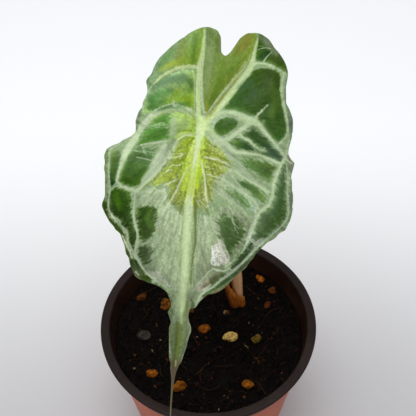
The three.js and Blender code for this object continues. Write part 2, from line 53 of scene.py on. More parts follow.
# Outline of the blade in its own frame (mm), x across, y towards the lobes.
OUTLINE = [
    (-0.60, 72.54), (0.78, 72.44), (3.00, 71.59), (3.66, 71.19), (4.15, 70.60), (4.87, 69.18),
    (5.16, 68.24), (5.25, 65.55), (5.33, 62.86), (5.84, 61.80), (6.55, 61.17), (7.08, 61.06),
    (7.43, 61.15), (8.49, 62.00), (9.42, 63.04), (10.99, 65.33), (12.55, 67.62), (13.56, 68.59),
    (14.87, 69.49), (15.74, 69.94), (16.51, 70.10), (20.10, 70.08), (22.40, 69.05), (24.73, 67.21),
    (26.67, 64.21), (28.00, 62.73), (29.43, 60.83), (31.08, 57.89), (31.92, 55.06), (32.06, 53.88),
    (32.00, 52.69), (31.64, 50.46), (31.27, 48.22), (31.30, 45.25), (31.33, 42.27), (31.56, 41.53),
    (32.34, 40.15), (33.17, 38.14), (33.91, 35.88), (34.05, 34.91), (34.01, 31.11), (33.71, 29.77),
    (33.59, 28.18), (32.55, 24.38), (32.19, 21.87), (32.32, 21.33), (33.10, 19.76), (34.39, 18.27),
    (34.63, 17.75), (33.99, 15.16), (33.34, 12.58), (33.64, 10.66), (33.69, 7.26), (34.05, 5.32),
    (34.05, 2.32), (33.78, 0.59), (33.94, -0.73), (33.09, -4.55), (32.08, -6.57), (31.08, -8.58),
    (30.73, -9.03), (28.53, -10.25), (26.82, -12.13), (23.77, -13.86), (23.15, -14.34), (21.20, -16.31),
    (19.24, -18.28), (18.20, -19.97), (16.74, -21.61), (15.31, -23.75), (14.31, -24.73), (12.74, -25.94),
    (10.70, -27.96), (8.66, -29.99), (6.62, -32.01), (4.99, -33.13), (3.57, -33.85), (2.07, -34.35),
    (0.31, -34.60), (-0.58, -35.00), (-3.47, -37.76), (-4.95, -39.87), (-6.46, -40.22), (-7.22, -40.78),
    (-7.54, -41.47), (-7.89, -43.58), (-7.51, -45.69), (-6.87, -47.55), (-6.86, -49.74), (-7.51, -51.34),
    (-8.29, -53.99), (-8.59, -55.54), (-9.56, -58.13), (-10.63, -61.51), (-11.52, -62.80), (-11.86, -63.52),
    (-12.82, -65.92), (-13.47, -68.93), (-13.95, -72.14), (-14.27, -75.34), (-14.55, -78.55), (-14.71, -81.75),
    (-14.83, -84.56), (-15.07, -86.16), (-15.31, -84.56), (-15.27, -81.75), (-15.15, -78.55), (-14.95, -75.34),
    (-14.79, -72.14), (-14.67, -68.93), (-14.91, -66.12), (-15.09, -64.17), (-14.97, -62.47), (-15.51, -60.58),
    (-15.62, -59.60), (-15.62, -56.81), (-15.62, -54.02), (-15.62, -51.22), (-15.62, -48.43), (-15.51, -47.65),
    (-15.02, -46.36), (-14.90, -45.60), (-16.02, -42.04), (-15.93, -41.45), (-14.92, -39.54), (-14.84, -38.56),
    (-14.96, -37.59), (-16.32, -34.10), (-16.97, -33.36), (-18.87, -31.92), (-20.26, -31.16), (-22.47, -30.28),
    (-23.99, -29.85), (-25.61, -29.10), (-27.49, -28.51), (-28.31, -27.97), (-29.45, -26.91), (-30.58, -23.99),
    (-31.25, -22.82), (-31.81, -19.99), (-32.65, -18.68), (-32.95, -17.96), (-33.46, -15.25), (-34.27, -12.92),
    (-35.08, -10.60), (-35.68, -9.83), (-37.04, -8.70), (-37.98, -7.19), (-39.43, -5.55), (-41.17, -2.44),
    (-42.37, 0.28), (-42.48, 1.07), (-42.39, 2.06), (-41.47, 4.46), (-41.29, 5.63), (-41.29, 8.30),
    (-41.29, 10.97), (-41.29, 13.64), (-41.66, 15.97), (-41.34, 18.30), (-41.60, 20.99), (-40.79, 23.20),
    (-40.20, 23.93), (-38.15, 25.12), (-35.75, 26.03), (-33.97, 27.28), (-30.92, 28.72), (-29.24, 30.38),
    (-29.07, 30.89), (-28.91, 32.77), (-29.06, 34.50), (-28.86, 35.44), (-27.76, 38.61), (-26.38, 40.51),
    (-26.10, 42.32), (-24.55, 45.71), (-24.35, 48.27), (-24.75, 50.19), (-24.66, 51.14), (-24.10, 52.17),
    (-22.68, 53.82), (-21.84, 56.04), (-21.06, 57.65), (-19.33, 60.31), (-16.97, 62.60), (-14.62, 64.89),
    (-12.81, 66.29), (-11.01, 67.68), (-9.64, 68.43), (-7.28, 70.22), (-4.25, 71.72), (-1.99, 72.44),
]
JUNCTION = (-2.8, 33.3)
MIDRIB = [(-15.0, -78.0), (-13.4, -66.0), (-12.2, -54.9), (-11.2, -42.9), (-10.4, -32.9), (-9.4, -20.8),
          (-8.2, -7.6), (-7.4, 3.2), (-6.0, 16.0), (-4.4, 26.0), (-2.8, 33.3)]
LOBE_VEINS = [
    [(-2.8, 33.3), (-4.2, 43.3), (-3.8, 51.3), (-2.0, 64.1), (-1.2, 70.9)],
    [(-2.8, 33.3), (2.4, 38.9), (8.4, 46.9), (14.4, 54.5), (17.6, 60.1), (20.0, 67.9)],
]
# Veins: kind, then points (x, y, half width) in mm.
VEINS = [
    ("main", [(-3.41, 34.47, 1.28), (-3.85, 38.47, 1.08), (-4.01, 44.88, 1.00), (-4.01, 49.69, 0.96), (-3.85, 54.50, 0.92), (-3.53, 57.71, 0.84),
        (-2.81, 60.91, 0.72), (-2.00, 64.92, 0.64), (-1.60, 68.13, 0.56), (-1.28, 71.33, 0.36)]),
    ("thin", [(-1.20, 37.67, 0.24), (-1.92, 41.68, 0.24), (-2.16, 45.69, 0.24), (-2.24, 48.89, 0.24), (-2.32, 52.90, 0.22), (-2.16, 56.91, 0.20),
        (-1.40, 61.72, 0.20)]),
    ("thin", [(-5.37, 38.47, 0.18), (-5.41, 44.08, 0.18), (-5.49, 49.69, 0.16), (-5.21, 53.70, 0.14)]),
    ("lime", [(-4.41, 56.51, 0.68), (-8.42, 56.75, 0.68), (-12.42, 56.11, 0.64), (-15.63, 54.50, 0.60), (-18.84, 52.30, 0.56), (-21.64, 49.69, 0.44),
        (-23.24, 47.29, 0.32), (-24.85, 44.48, 0.20)]),
    ("pale", [(-5.21, 37.27, 0.52), (-6.81, 38.67, 0.56), (-8.42, 39.67, 0.68), (-11.22, 40.48, 0.84), (-13.63, 40.76, 1.04), (-15.63, 39.88, 1.04),
        (-18.84, 38.87, 0.96), (-22.04, 37.03, 1.16), (-24.25, 35.27, 1.36), (-26.45, 32.86, 1.36), (-28.05, 30.46, 1.28), (-29.66, 27.25, 1.40),
        (-31.98, 23.64, 1.36), (-33.82, 19.64, 0.96), (-35.43, 15.23, 0.68), (-36.59, 11.22, 0.52), (-35.67, 9.22, 0.52), (-32.46, 8.02, 0.56),
        (-29.26, 7.21, 0.64)]),
    ("thin", [(-13.63, 40.88, 0.44), (-13.71, 42.24, 0.24), (-13.79, 43.28, 0.08)]),
    ("main", [(-4.81, 28.65, 0.36), (-7.21, 29.42, 0.36), (-9.42, 29.26, 0.40), (-11.42, 28.05, 0.44), (-12.62, 26.45, 0.44)]),
    ("pale", [(-12.62, 26.45, 0.64), (-14.03, 24.05, 0.88), (-15.63, 20.84, 1.16), (-18.03, 17.23, 1.28), (-21.24, 14.03, 1.16), (-24.45, 10.82, 0.88),
        (-27.65, 8.02, 0.64), (-29.46, 7.01, 0.48)]),
    ("thin", [(-12.82, 26.85, 0.28), (-14.83, 23.24, 0.28), (-17.03, 19.24, 0.28), (-20.04, 15.63, 0.28), (-23.64, 12.02, 0.28), (-28.05, 7.61, 0.32)]),
    ("thin", [(-29.46, 7.21, 0.36), (-29.26, 4.41, 0.32), (-29.74, 0.80, 0.32), (-29.82, -2.40, 0.36), (-29.42, -5.61, 0.36), (-28.45, -9.22, 0.40),
        (-28.13, -11.22, 0.40), (-28.85, -14.43, 0.40), (-29.42, -17.63, 0.40), (-27.85, -20.44, 0.36), (-26.85, -22.84, 0.36), (-25.25, -25.25, 0.36),
        (-22.84, -27.65, 0.32), (-20.04, -29.26, 0.24), (-17.23, -31.26, 0.20)]),
    ("thin", [(-32.06, 27.65, 0.20), (-36.07, 25.45, 0.20), (-38.87, 23.84, 0.24), (-39.75, 22.04, 0.24), (-39.51, 19.24, 0.22), (-39.92, 16.03, 0.20),
        (-39.75, 12.02, 0.22), (-39.27, 8.82, 0.24), (-39.51, 6.01, 0.24), (-39.96, 3.21, 0.28), (-40.00, 0.40, 0.32), (-39.27, -1.60, 0.36),
        (-37.87, -3.61, 0.40), (-35.87, -4.93, 0.36), (-35.03, -6.81, 0.32), (-33.06, -8.66, 0.32), (-32.22, -10.82, 0.32), (-32.30, -12.82, 0.36),
        (-30.86, -15.63, 0.36), (-29.66, -18.84, 0.36), (-27.65, -21.64, 0.36), (-26.25, -24.05, 0.36)]),
    ("thin", [(-39.11, 7.61, 0.20), (-37.27, 8.58, 0.20), (-35.67, 9.02, 0.24)]),
    # These two white lines are partly the margin vein, partly a painted reflection of the glossy strip along the lower
    # left margin.
    ("white", [(-34.30, -11.02, 0.24), (-33.06, -14.03, 0.32), (-31.46, -17.23, 0.32), (-30.46, -20.04, 0.24)]),
    ("white", [(-38.87, -2.60, 0.28), (-37.47, -4.41, 0.28), (-36.07, -6.21, 0.16)]),
    ("thin", [(-26.05, 23.24, 0.20), (-23.24, 22.44, 0.16), (-20.84, 22.24, 0.14)]),
    ("thin", [(-28.85, 20.44, 0.14), (-25.65, 19.84, 0.20), (-22.84, 19.04, 0.14)]),
    ("thin", [(-26.65, 25.41, 0.16), (-23.24, 25.97, 0.28), (-20.04, 26.45, 0.40), (-16.83, 27.05, 0.48)]),
    ("main", [(-0.80, 34.87, 1.28), (0.80, 36.27, 1.20), (2.81, 38.55, 1.28), (4.81, 40.72, 1.28), (8.10, 44.64, 1.32), (11.38, 48.65, 1.32),
        (13.79, 51.70, 1.24), (16.03, 54.74, 1.16), (17.63, 57.71, 1.08), (18.43, 61.72, 0.80), (19.24, 64.92, 0.60), (19.84, 67.53, 0.40)]),
    ("thin", [(-0.56, 36.87, 0.22), (1.20, 40.28, 0.22), (3.61, 43.68, 0.20), (6.81, 47.49, 0.20), (10.82, 52.10, 0.20), (14.03, 55.71, 0.20),
        (16.03, 58.91, 0.18), (17.03, 61.72, 0.14)]),
    ("thin", [(-1.60, 36.07, 0.24), (-1.04, 37.67, 0.24)]),
    ("pale", [(17.83, 57.71, 0.72), (20.04, 58.11, 0.60), (22.44, 57.95, 0.56), (24.85, 57.31, 0.48), (27.65, 55.99, 0.40), (30.66, 54.10, 0.32)]),
    ("thin", [(22.04, 58.11, 0.40), (23.04, 59.91, 0.28), (24.25, 61.32, 0.20), (25.65, 62.72, 0.14)]),
    ("thin", [(20.04, 63.52, 0.12), (22.84, 64.20, 0.16), (25.25, 63.88, 0.12)]),
    ("pale", [(0.00, 33.66, 0.64), (1.80, 35.87, 0.80), (4.01, 37.67, 0.76), (6.41, 38.47, 0.72), (10.02, 38.35, 0.88), (14.03, 36.87, 1.12),
        (17.63, 35.47, 1.20), (20.44, 33.46, 1.04), (22.84, 30.46, 0.88), (26.05, 26.45, 0.68), (29.26, 22.44, 0.56), (30.86, 20.04, 0.56)]),
    ("thin", [(18.64, 35.87, 0.48), (20.04, 37.47, 0.32), (21.64, 39.07, 0.24), (23.84, 41.48, 0.14)]),
    ("pale", [(0.40, 32.06, 0.88), (2.00, 29.66, 1.12), (4.81, 27.25, 1.20), (8.02, 24.85, 1.04), (10.82, 22.64, 0.96), (15.63, 21.96, 0.60),
        (20.44, 21.24, 0.48), (24.45, 19.84, 0.48), (28.45, 18.03, 0.56)]),
    ("pale", [(5.61, 27.25, 0.88), (8.42, 28.05, 0.96), (11.22, 30.06, 0.88), (14.03, 32.06, 0.96), (17.23, 34.47, 1.12)]),
    ("pale", [(12.02, 30.46, 0.72), (14.03, 28.25, 0.48), (16.43, 27.05, 0.40), (18.03, 25.25, 0.32), (20.84, 23.64, 0.24), (23.24, 22.84, 0.16)]),
    ("thin", [(30.86, 54.10, 0.24), (29.90, 51.30, 0.24), (29.58, 48.09, 0.24), (29.78, 44.88, 0.24), (30.86, 39.27, 0.24), (31.90, 34.47, 0.24),
        (32.06, 31.26, 0.24), (31.42, 28.85, 0.24), (29.66, 26.85, 0.28), (27.45, 25.41, 0.28)]),
    ("thin", [(32.26, 31.26, 0.16), (32.62, 27.25, 0.16), (31.46, 24.05, 0.20), (31.26, 21.24, 0.32), (30.86, 19.64, 0.48)]),
    ("thin", [(30.86, 20.04, 0.48), (31.86, 22.44, 0.24), (32.46, 24.85, 0.16)]),
    ("thin", [(30.86, 20.04, 0.48), (32.46, 18.43, 0.32), (33.66, 17.83, 0.24)]),
    ("pale", [(30.66, 19.84, 0.56), (29.09, 17.23, 0.60), (27.65, 13.63, 0.68), (26.25, 9.62, 0.68), (25.81, 4.81, 0.68), (24.25, 1.20, 0.76),
        (21.24, -0.80, 0.80), (19.64, -3.21, 0.64), (18.92, -5.61, 0.52), (17.79, -9.22, 0.52), (15.83, -12.42, 0.40), (14.27, -16.03, 0.36),
        (12.42, -19.24, 0.36), (9.62, -21.84, 0.36), (7.21, -23.24, 0.36)]),
    ("thin", [(14.03, -1.60, 0.20), (16.83, -3.41, 0.20), (19.24, -4.41, 0.20)]),
    ("thin", [(31.46, 17.23, 0.20), (31.90, 13.22, 0.24), (31.78, 7.21, 0.28), (31.90, 1.20, 0.32), (32.22, -2.40, 0.32), (31.50, -5.01, 0.32),
        (29.46, -7.21, 0.32), (27.25, -9.42, 0.28), (24.85, -11.42, 0.24), (21.88, -14.03, 0.28), (18.43, -17.03, 0.32), (15.23, -20.24, 0.32),
        (12.82, -22.84, 0.32), (10.42, -24.97, 0.32), (8.02, -26.85, 0.28), (5.61, -28.45, 0.28), (3.81, -29.78, 0.32), (2.40, -31.26, 0.32),
        (0.60, -32.46, 0.36), (-1.60, -33.42, 0.44), (-3.21, -35.27, 0.32), (-4.41, -38.07, 0.28)]),
    ("thin", [(8.82, -23.84, 0.28), (6.01, -25.25, 0.28), (2.60, -24.29, 0.24), (0.20, -25.45, 0.32), (-1.20, -27.45, 0.36), (-3.01, -29.26, 0.32),
        (-4.61, -31.26, 0.28)]),
    ("white", [(16.83, -12.62, 0.20), (19.04, -14.63, 0.28), (20.84, -15.23, 0.20)]),
    ("white", [(17.63, -15.23, 0.16), (20.04, -13.02, 0.20)]),
    ("white", [(-2.00, -32.86, 0.48), (0.00, -31.66, 0.40), (1.20, -30.46, 0.20)]),
    ("white", [(-24.45, -26.05, 0.40), (-22.84, -27.45, 0.44), (-20.84, -28.45, 0.32)]),
    ("white", [(-29.05, -25.45, 0.28), (-27.85, -26.85, 0.24)]),
    ("pale", [(7.21, 16.83, 0.48), (11.22, 14.43, 0.56), (16.03, 11.22, 0.56), (20.44, 9.02, 0.64), (24.05, 6.41, 0.64)]),
    ("pale", [(5.61, 12.02, 0.36), (10.42, 8.82, 0.44), (15.23, 5.61, 0.52), (18.84, 2.40, 0.60), (20.44, -0.40, 0.64)]),
    ("thin", [(2.40, 7.61, 0.20), (7.21, 4.41, 0.24), (12.02, 0.80, 0.24), (15.63, -2.00, 0.20)]),
    ("thin", [(8.42, -2.81, 0.12), (9.82, -4.41, 0.24), (10.62, -6.41, 0.20), (12.42, -8.42, 0.12)]),
    ("thin", [(16.83, -3.61, 0.12), (15.23, -6.01, 0.14), (14.23, -8.62, 0.12)]),
    ("main", [(-2.00, 35.67, 1.60), (-2.40, 33.66, 2.16), (-2.97, 31.26, 2.08), (-3.45, 28.85, 1.60), (-4.09, 25.65, 1.28), (-4.81, 21.64, 1.20),
        (-5.61, 16.83, 1.28), (-6.25, 12.02, 1.44), (-6.97, 7.21, 1.68), (-7.61, 3.21, 2.00), (-8.10, -1.60, 1.80), (-8.42, -7.21, 1.86),
        (-8.82, -12.82, 1.86), (-9.06, -19.24, 1.73), (-9.38, -25.65, 1.67), (-9.82, -32.06, 1.41), (-10.30, -36.87, 1.15), (-10.70, -41.68, 0.90),
        (-10.98, -45.69, 0.51)]),
    ("white", [(-3.37, 30.86, 0.40), (-4.01, 26.85, 0.44), (-4.65, 23.24, 0.40), (-5.21, 20.04, 0.36), (-5.85, 16.23, 0.28)]),
    ("white", [(-3.13, 19.24, 0.20), (-2.00, 16.03, 0.32), (-1.44, 12.82, 0.32), (-1.12, 8.82, 0.32), (-0.88, 4.81, 0.32), (0.00, 2.00, 0.16)]),
    ("white", [(-8.02, 16.03, 0.20), (-9.62, 13.43, 0.32), (-11.22, 10.22, 0.32), (-12.82, 6.81, 0.32), (-14.67, 3.21, 0.24)]),
    ("white", [(-1.20, 20.44, 0.20), (1.60, 19.92, 0.32), (4.41, 19.24, 0.28), (7.21, 17.79, 0.24), (9.02, 16.63, 0.16)]),
    ("white", [(-15.63, 20.04, 0.16), (-13.22, 20.20, 0.24), (-10.82, 20.84, 0.20), (-9.02, 22.24, 0.12)]),
    ("white", [(-15.63, 16.43, 0.12), (-14.43, 17.23, 0.16), (-12.02, 17.03, 0.16), (-9.62, 18.03, 0.12)]),
    ("white", [(-17.63, 13.83, 0.12), (-16.03, 14.83, 0.16), (-14.03, 15.43, 0.12)]),
    ("white", [(-18.03, 8.82, 0.12), (-16.03, 9.82, 0.16), (-13.43, 11.02, 0.20), (-11.62, 11.62, 0.12)]),
    ("white", [(0.00, 13.43, 0.12), (2.00, 12.66, 0.20), (4.41, 12.18, 0.16)]),
    ("white", [(-3.61, 3.21, 0.12), (-2.00, 1.80, 0.18), (-0.40, -0.20, 0.12)]),
    ("white", [(-6.81, 4.01, 0.12), (-6.49, 0.80, 0.18), (-6.89, -2.40, 0.14)]),
    ("olive", [(-5.45, 3.61, 0.64), (-5.21, 0.80, 0.60), (-5.01, -2.00, 0.52), (-5.13, -5.61, 0.36), (-4.97, -9.62, 0.36), (-5.05, -14.03, 0.36),
        (-5.77, -17.63, 0.28), (-6.09, -21.24, 0.28), (-6.65, -24.05, 0.24), (-6.81, -27.25, 0.24), (-6.97, -30.46, 0.24)]),
    ("olive", [(-11.46, -46.09, 0.48), (-11.38, -49.69, 0.64), (-11.62, -53.70, 0.64), (-12.42, -57.71, 0.44), (-13.06, -61.32, 0.20)]),
    ("olive", [(-8.26, -37.67, 0.32), (-8.66, -40.88, 0.28), (-9.14, -44.08, 0.24)]),
    ("olive", [(-9.42, -45.69, 0.28), (-9.46, -48.49, 0.20)]),
    ("edge", [(-12.90, -61.32, 0.36), (-12.98, -63.32, 0.28)]),
]
BASE_COLOUR = (142, 165, 120)
# Patches of the leaf pattern, and the s_ patches, which are painted highlights: name, soft edge, raggedness, outline
# (mm), colours at its two ends, middle, direction from the first colour to the second, half length.
PATCHES = [
    ("z_left_lobe", 0.50, 0.40, [(-28.05, 36.87), (-26.45, 40.08), (-24.85, 44.08), (-24.05, 48.09), (-24.85, 51.30), (-22.44, 54.10), (-20.84, 58.11), (-19.24, 60.91),
        (-14.43, 65.32), (-7.21, 70.93), (-1.20, 72.94), (-1.20, 65.32), (-2.81, 58.51), (-8.42, 56.51), (-13.22, 55.30), (-18.84, 51.70),
        (-22.44, 47.29), (-24.85, 41.68), (-27.25, 36.87)],
        (129, 159, 51), (132, 163, 131), (-11.9, 61.2), (-0.82, 0.57), 4.8),
    ("z_web", 0.40, 0.40, [(-0.80, 72.94), (4.41, 70.93), (5.61, 67.33), (5.61, 62.52), (6.81, 60.71), (9.22, 62.52), (13.22, 68.53), (16.83, 70.53),
        (20.04, 70.13), (19.24, 64.92), (17.23, 59.31), (12.82, 54.50), (6.81, 47.29), (2.00, 40.48), (-1.20, 36.47), (-1.80, 41.68),
        (-2.16, 48.89), (-2.40, 55.30), (-1.60, 63.32)],
        (121, 143, 49), (115, 138, 75), (6.1, 58.0), (-0.87, 0.49), 7.4),
    ("z_lobe_right", 0.30, 0.40, [(20.24, 69.73), (24.85, 67.33), (31.26, 57.71), (32.26, 53.30), (30.46, 53.70), (24.85, 56.91), (19.24, 57.71), (19.24, 64.12)],
        (53, 85, 19), (145, 147, 145), (25.1, 63.6), (0.77, 0.63), 1.7),
    ("z_mid_left", 0.60, 0.80, [(-14.83, 38.47), (-8.02, 38.47), (-4.81, 36.07), (-5.41, 29.66), (-12.42, 29.66), (-15.63, 27.25), (-17.23, 32.86)],
        (150, 183, 106), (186, 220, 112), (-10.9, 34.8), (0.97, 0.22), 4.6),
    ("z_lower_left", 0.60, 0.80, [(-28.45, 6.41), (-17.23, 8.02), (-14.43, 1.20), (-10.82, -2.81), (-10.82, -33.66), (-14.43, -32.86), (-23.24, -28.85), (-27.65, -21.64),
        (-28.85, -8.82)],
        (140, 158, 122), (194, 211, 169), (-17.9, -11.1), (0.97, 0.24), 6.4),
    ("z_lower_right", 0.60, 0.80, [(-4.41, -2.81), (1.60, -2.81), (6.81, 1.20), (12.82, -0.80), (17.63, -5.61), (15.23, -12.82), (6.81, -24.05), (-3.21, -30.86),
        (-6.81, -33.66), (-4.81, -12.82)],
        (123, 135, 101), (182, 200, 162), (2.0, -13.3), (-0.85, 0.53), 8.9),
    ("z_right_mid", 0.60, 0.80, [(1.60, 12.82), (9.62, 16.83), (16.83, 12.02), (23.24, 7.21), (24.05, 3.21), (20.04, -1.60), (12.82, 0.00), (3.21, 4.81)],
        (151, 178, 143), (170, 185, 142), (10.6, 7.3), (-0.98, 0.19), 8.6),
    ("z_right", 0.60, 0.60, [(1.60, 37.27), (14.83, 36.87), (21.64, 32.06), (30.46, 20.04), (21.64, 20.04), (9.62, 19.24), (1.60, 27.25)],
        (99, 118, 74), (170, 186, 156), (11.6, 27.7), (-1.00, -0.05), 8.8),
    ("z_neck", 1.40, 0.40, [(-15.23, -32.86), (-6.41, -33.66), (-3.21, -30.46), (-4.01, -36.87), (-7.21, -40.08), (-8.02, -43.28), (-6.41, -48.09), (-8.82, -55.30),
        (-12.82, -65.72), (-14.83, -70.53), (-16.03, -56.91), (-16.03, -47.29), (-14.83, -44.08), (-16.43, -41.68), (-14.83, -38.07)],
        (93, 109, 65), (137, 150, 116), (-11.6, -48.0), (0.36, 0.93), 14.9),
    ("z_left_edge", 0.24, 0.20, [(-29.66, 29.66), (-35.27, 26.45), (-40.48, 24.05), (-42.08, 21.24), (-41.68, 7.21), (-42.88, 1.20), (-38.47, -7.61), (-34.87, -10.82),
        (-32.86, -17.63), (-31.26, -22.44), (-29.66, -27.25), (-23.24, -30.06), (-19.24, -32.06), (-22.44, -28.45), (-26.85, -24.45), (-30.06, -19.64),
        (-32.46, -13.63), (-32.86, -9.22), (-35.67, -5.61), (-38.47, -3.21), (-40.48, 0.80), (-40.08, 7.21), (-40.28, 17.23), (-39.88, 22.04),
        (-37.67, 24.45), (-32.06, 27.25)],
        (76, 93, 11), (16, 53, 3), (-35.9, -4.7), (0.79, 0.61), 9.9),
    ("z_right_edge", 0.20, 0.20, [(31.66, 59.31), (32.46, 53.30), (31.66, 47.29), (32.06, 41.28), (34.47, 35.27), (34.06, 28.45), (32.46, 22.04), (34.87, 18.03),
        (33.66, 12.82), (34.47, 3.21), (33.26, -4.81), (30.86, -9.22), (21.64, -16.43), (12.82, -26.05), (6.41, -32.46), (-0.40, -35.27),
        (-3.61, -38.07), (-2.40, -34.87), (2.40, -32.06), (8.02, -27.65), (15.23, -20.84), (21.64, -14.83), (30.06, -7.21), (32.46, -2.81),
        (32.06, 7.21), (32.06, 16.03), (30.46, 20.44), (32.06, 24.05), (32.46, 30.46), (31.26, 39.27), (30.06, 45.29), (30.06, 50.50)],
        (118, 107, 66), (111, 126, 106), (22.9, 0.1), (1.00, 0.06), 19.9),
    ("p_branch_field", 0.30, 0.40, [(-5.21, 54.90), (-10.02, 55.30), (-15.23, 53.30), (-20.04, 50.09), (-23.24, 46.49), (-25.65, 42.08), (-26.65, 37.67), (-23.24, 37.87),
        (-19.24, 40.08), (-15.23, 42.28), (-11.22, 42.08), (-8.02, 40.08), (-5.61, 38.47), (-5.21, 47.29)],
        (126, 159, 63), (150, 182, 130), (-14.6, 46.5), (-0.64, 0.77), 5.4),
    ("p_r2", 0.24, 0.32, [(6.41, 39.27), (7.61, 41.08), (9.62, 44.08), (12.82, 48.29), (16.43, 52.70), (18.43, 55.10), (20.84, 55.91), (24.05, 56.27),
        (26.85, 55.54), (28.85, 54.10), (29.05, 50.50), (28.85, 47.29), (29.26, 43.28), (30.26, 38.47), (31.26, 34.47), (31.34, 31.26),
        (30.46, 28.85), (28.05, 26.65), (26.05, 27.65), (23.64, 30.66), (21.64, 33.66), (19.64, 35.47), (19.24, 36.67), (16.43, 36.47),
        (14.03, 37.87), (10.42, 39.43), (8.02, 39.27)],
        (52, 78, 16), (57, 93, 32), (21.9, 43.1), (-0.49, -0.87), 9.4),
    ("p_r1", 0.20, 0.20, [(19.44, 59.11), (18.76, 61.32), (19.56, 63.92), (21.64, 63.32), (24.45, 63.12), (25.05, 62.32), (23.24, 60.71), (21.84, 58.99),
        (20.44, 58.51)],
        (18, 53, 3), (64, 98, 28), (21.5, 61.3), (-0.87, 0.49), 1.6),
    ("p_r1b", 0.20, 0.20, [(25.85, 61.92), (28.05, 60.31), (30.26, 57.71), (31.06, 55.30), (28.85, 56.27), (26.05, 57.47), (23.24, 58.35), (24.45, 60.31)],
        (59, 79, 27), (46, 78, 3), (27.3, 58.7), (-0.44, -0.90), 1.4),
    ("p_oval", 0.20, 0.16, [(2.08, 30.86), (3.01, 33.66), (4.81, 35.43), (7.61, 36.23), (10.22, 35.83), (11.86, 34.63), (11.54, 32.86), (9.62, 31.18),
        (7.21, 29.66), (4.81, 28.85), (2.81, 29.09)],
        (58, 88, 39), (58, 93, 23), (7.0, 32.9), (-0.11, -0.99), 2.9),
    ("p_r4", 0.28, 0.48, [(14.03, 29.46), (15.83, 30.46), (17.63, 31.54), (20.04, 30.46), (22.44, 28.25), (25.25, 25.85), (27.65, 23.44), (29.66, 20.84),
        (30.06, 19.24), (27.93, 18.64), (23.64, 20.44), (21.64, 22.44), (19.24, 24.45), (18.03, 26.45), (16.03, 27.81)],
        (48, 70, 46), (43, 77, 23), (22.2, 25.5), (-1.00, -0.03), 5.7),
    ("p_r4b", 0.28, 0.48, [(9.02, 26.25), (10.42, 27.25), (12.42, 27.81), (14.63, 27.41), (16.63, 26.05), (18.23, 24.25), (18.43, 22.64), (15.63, 22.84),
        (12.42, 23.44), (10.42, 24.45)],
        (14, 42, 13), (88, 122, 50), (13.8, 25.2), (-0.95, 0.32), 3.7),
    ("p_r5", 0.32, 0.72, [(13.02, 19.44), (15.63, 19.72), (18.84, 19.40), (22.32, 18.84), (25.25, 17.83), (27.37, 17.03), (27.05, 14.83), (25.45, 11.62),
        (24.45, 10.62), (22.04, 12.02), (19.04, 14.23), (16.03, 15.83), (14.03, 17.63)],
        (70, 96, 37), (85, 120, 60), (21.2, 16.0), (-0.70, -0.71), 3.3),
    ("p_r6", 0.36, 0.88, [(12.22, 10.82), (14.83, 11.22), (17.23, 10.82), (19.64, 9.38), (21.44, 7.61), (22.84, 5.21), (23.24, 3.21), (21.24, 1.80),
        (19.04, 4.01), (16.43, 6.41), (14.03, 8.42)],
        (53, 85, 33), (106, 136, 68), (18.5, 6.7), (0.15, -0.99), 4.1),
    ("p_r7", 0.40, 0.96, [(7.61, 7.21), (9.62, 7.01), (12.02, 6.01), (14.23, 3.81), (16.03, 1.00), (15.63, 0.00), (13.22, 1.20), (10.82, 3.21),
        (8.82, 5.21)],
        (78, 112, 55), (108, 139, 79), (12.1, 3.8), (-0.21, 0.98), 3.3),
    ("p_r9", 0.44, 0.96, [(3.21, -5.61), (5.21, -3.21), (7.21, -2.40), (9.22, -3.41), (11.62, -4.41), (13.63, -6.81), (15.03, -9.42), (14.03, -12.02),
        (12.02, -14.03), (10.02, -16.83), (8.42, -19.64), (6.61, -16.83), (5.81, -13.63), (4.41, -11.22)],
        (51, 75, 27), (81, 106, 59), (8.7, -10.1), (-0.83, 0.56), 5.0),
    ("p_r8", 0.26, 0.64, [(29.26, 16.83), (31.06, 18.03), (31.34, 13.22), (31.34, 7.21), (31.38, 1.20), (31.66, -2.40), (30.66, -4.81), (28.45, -7.01),
        (25.65, -9.42), (22.44, -12.02), (20.04, -13.02), (18.03, -13.22), (16.83, -14.83), (15.23, -17.63), (12.82, -20.84), (10.82, -23.24),
        (9.02, -24.65), (8.42, -23.64), (11.22, -21.24), (13.63, -18.03), (15.23, -14.83), (17.23, -11.62), (18.84, -8.82), (19.64, -5.61),
        (20.44, -2.81), (22.84, -0.80), (25.25, 0.80), (26.65, 4.01), (26.85, 8.02), (28.05, 12.02)],
        (67, 100, 41), (81, 102, 71), (25.4, -2.3), (-0.92, 0.39), 4.0),
    ("p_r10", 0.24, 0.40, [(0.00, -28.45), (2.40, -26.05), (5.21, -25.45), (7.61, -25.65), (6.81, -27.65), (4.41, -28.85), (2.40, -30.46), (0.40, -31.46)],
        (82, 101, 52), (102, 107, 82), (3.4, -27.7), (-0.61, 0.79), 1.3),
    ("p_l3", 0.32, 0.56, [(-26.45, 30.06), (-24.05, 32.06), (-20.84, 33.46), (-16.83, 34.47), (-15.43, 32.86), (-15.03, 30.06), (-16.03, 28.05), (-19.24, 26.65),
        (-22.84, 26.21), (-26.05, 25.45), (-28.45, 25.05), (-28.05, 27.65)],
        (79, 126, 43), (86, 139, 55), (-21.0, 29.9), (-0.09, 1.00), 2.9),
    ("p_l3b", 0.28, 0.48, [(-23.24, 35.67), (-21.64, 36.87), (-19.24, 37.83), (-16.03, 37.91), (-15.23, 36.07), (-15.63, 33.46), (-18.43, 33.10), (-21.64, 33.42),
        (-23.84, 34.22)],
        (103, 149, 51), (69, 124, 39), (-19.2, 35.5), (1.00, 0.00), 4.0),
    ("p_l4", 0.26, 0.52, [(-34.26, 18.43), (-32.86, 21.24), (-30.86, 23.24), (-28.05, 24.45), (-25.25, 24.25), (-21.64, 23.44), (-20.04, 22.04), (-22.44, 19.64),
        (-22.04, 16.83), (-22.84, 14.43), (-25.25, 11.82), (-27.25, 9.42), (-28.85, 8.02), (-31.66, 8.42), (-34.67, 9.62), (-36.07, 11.02),
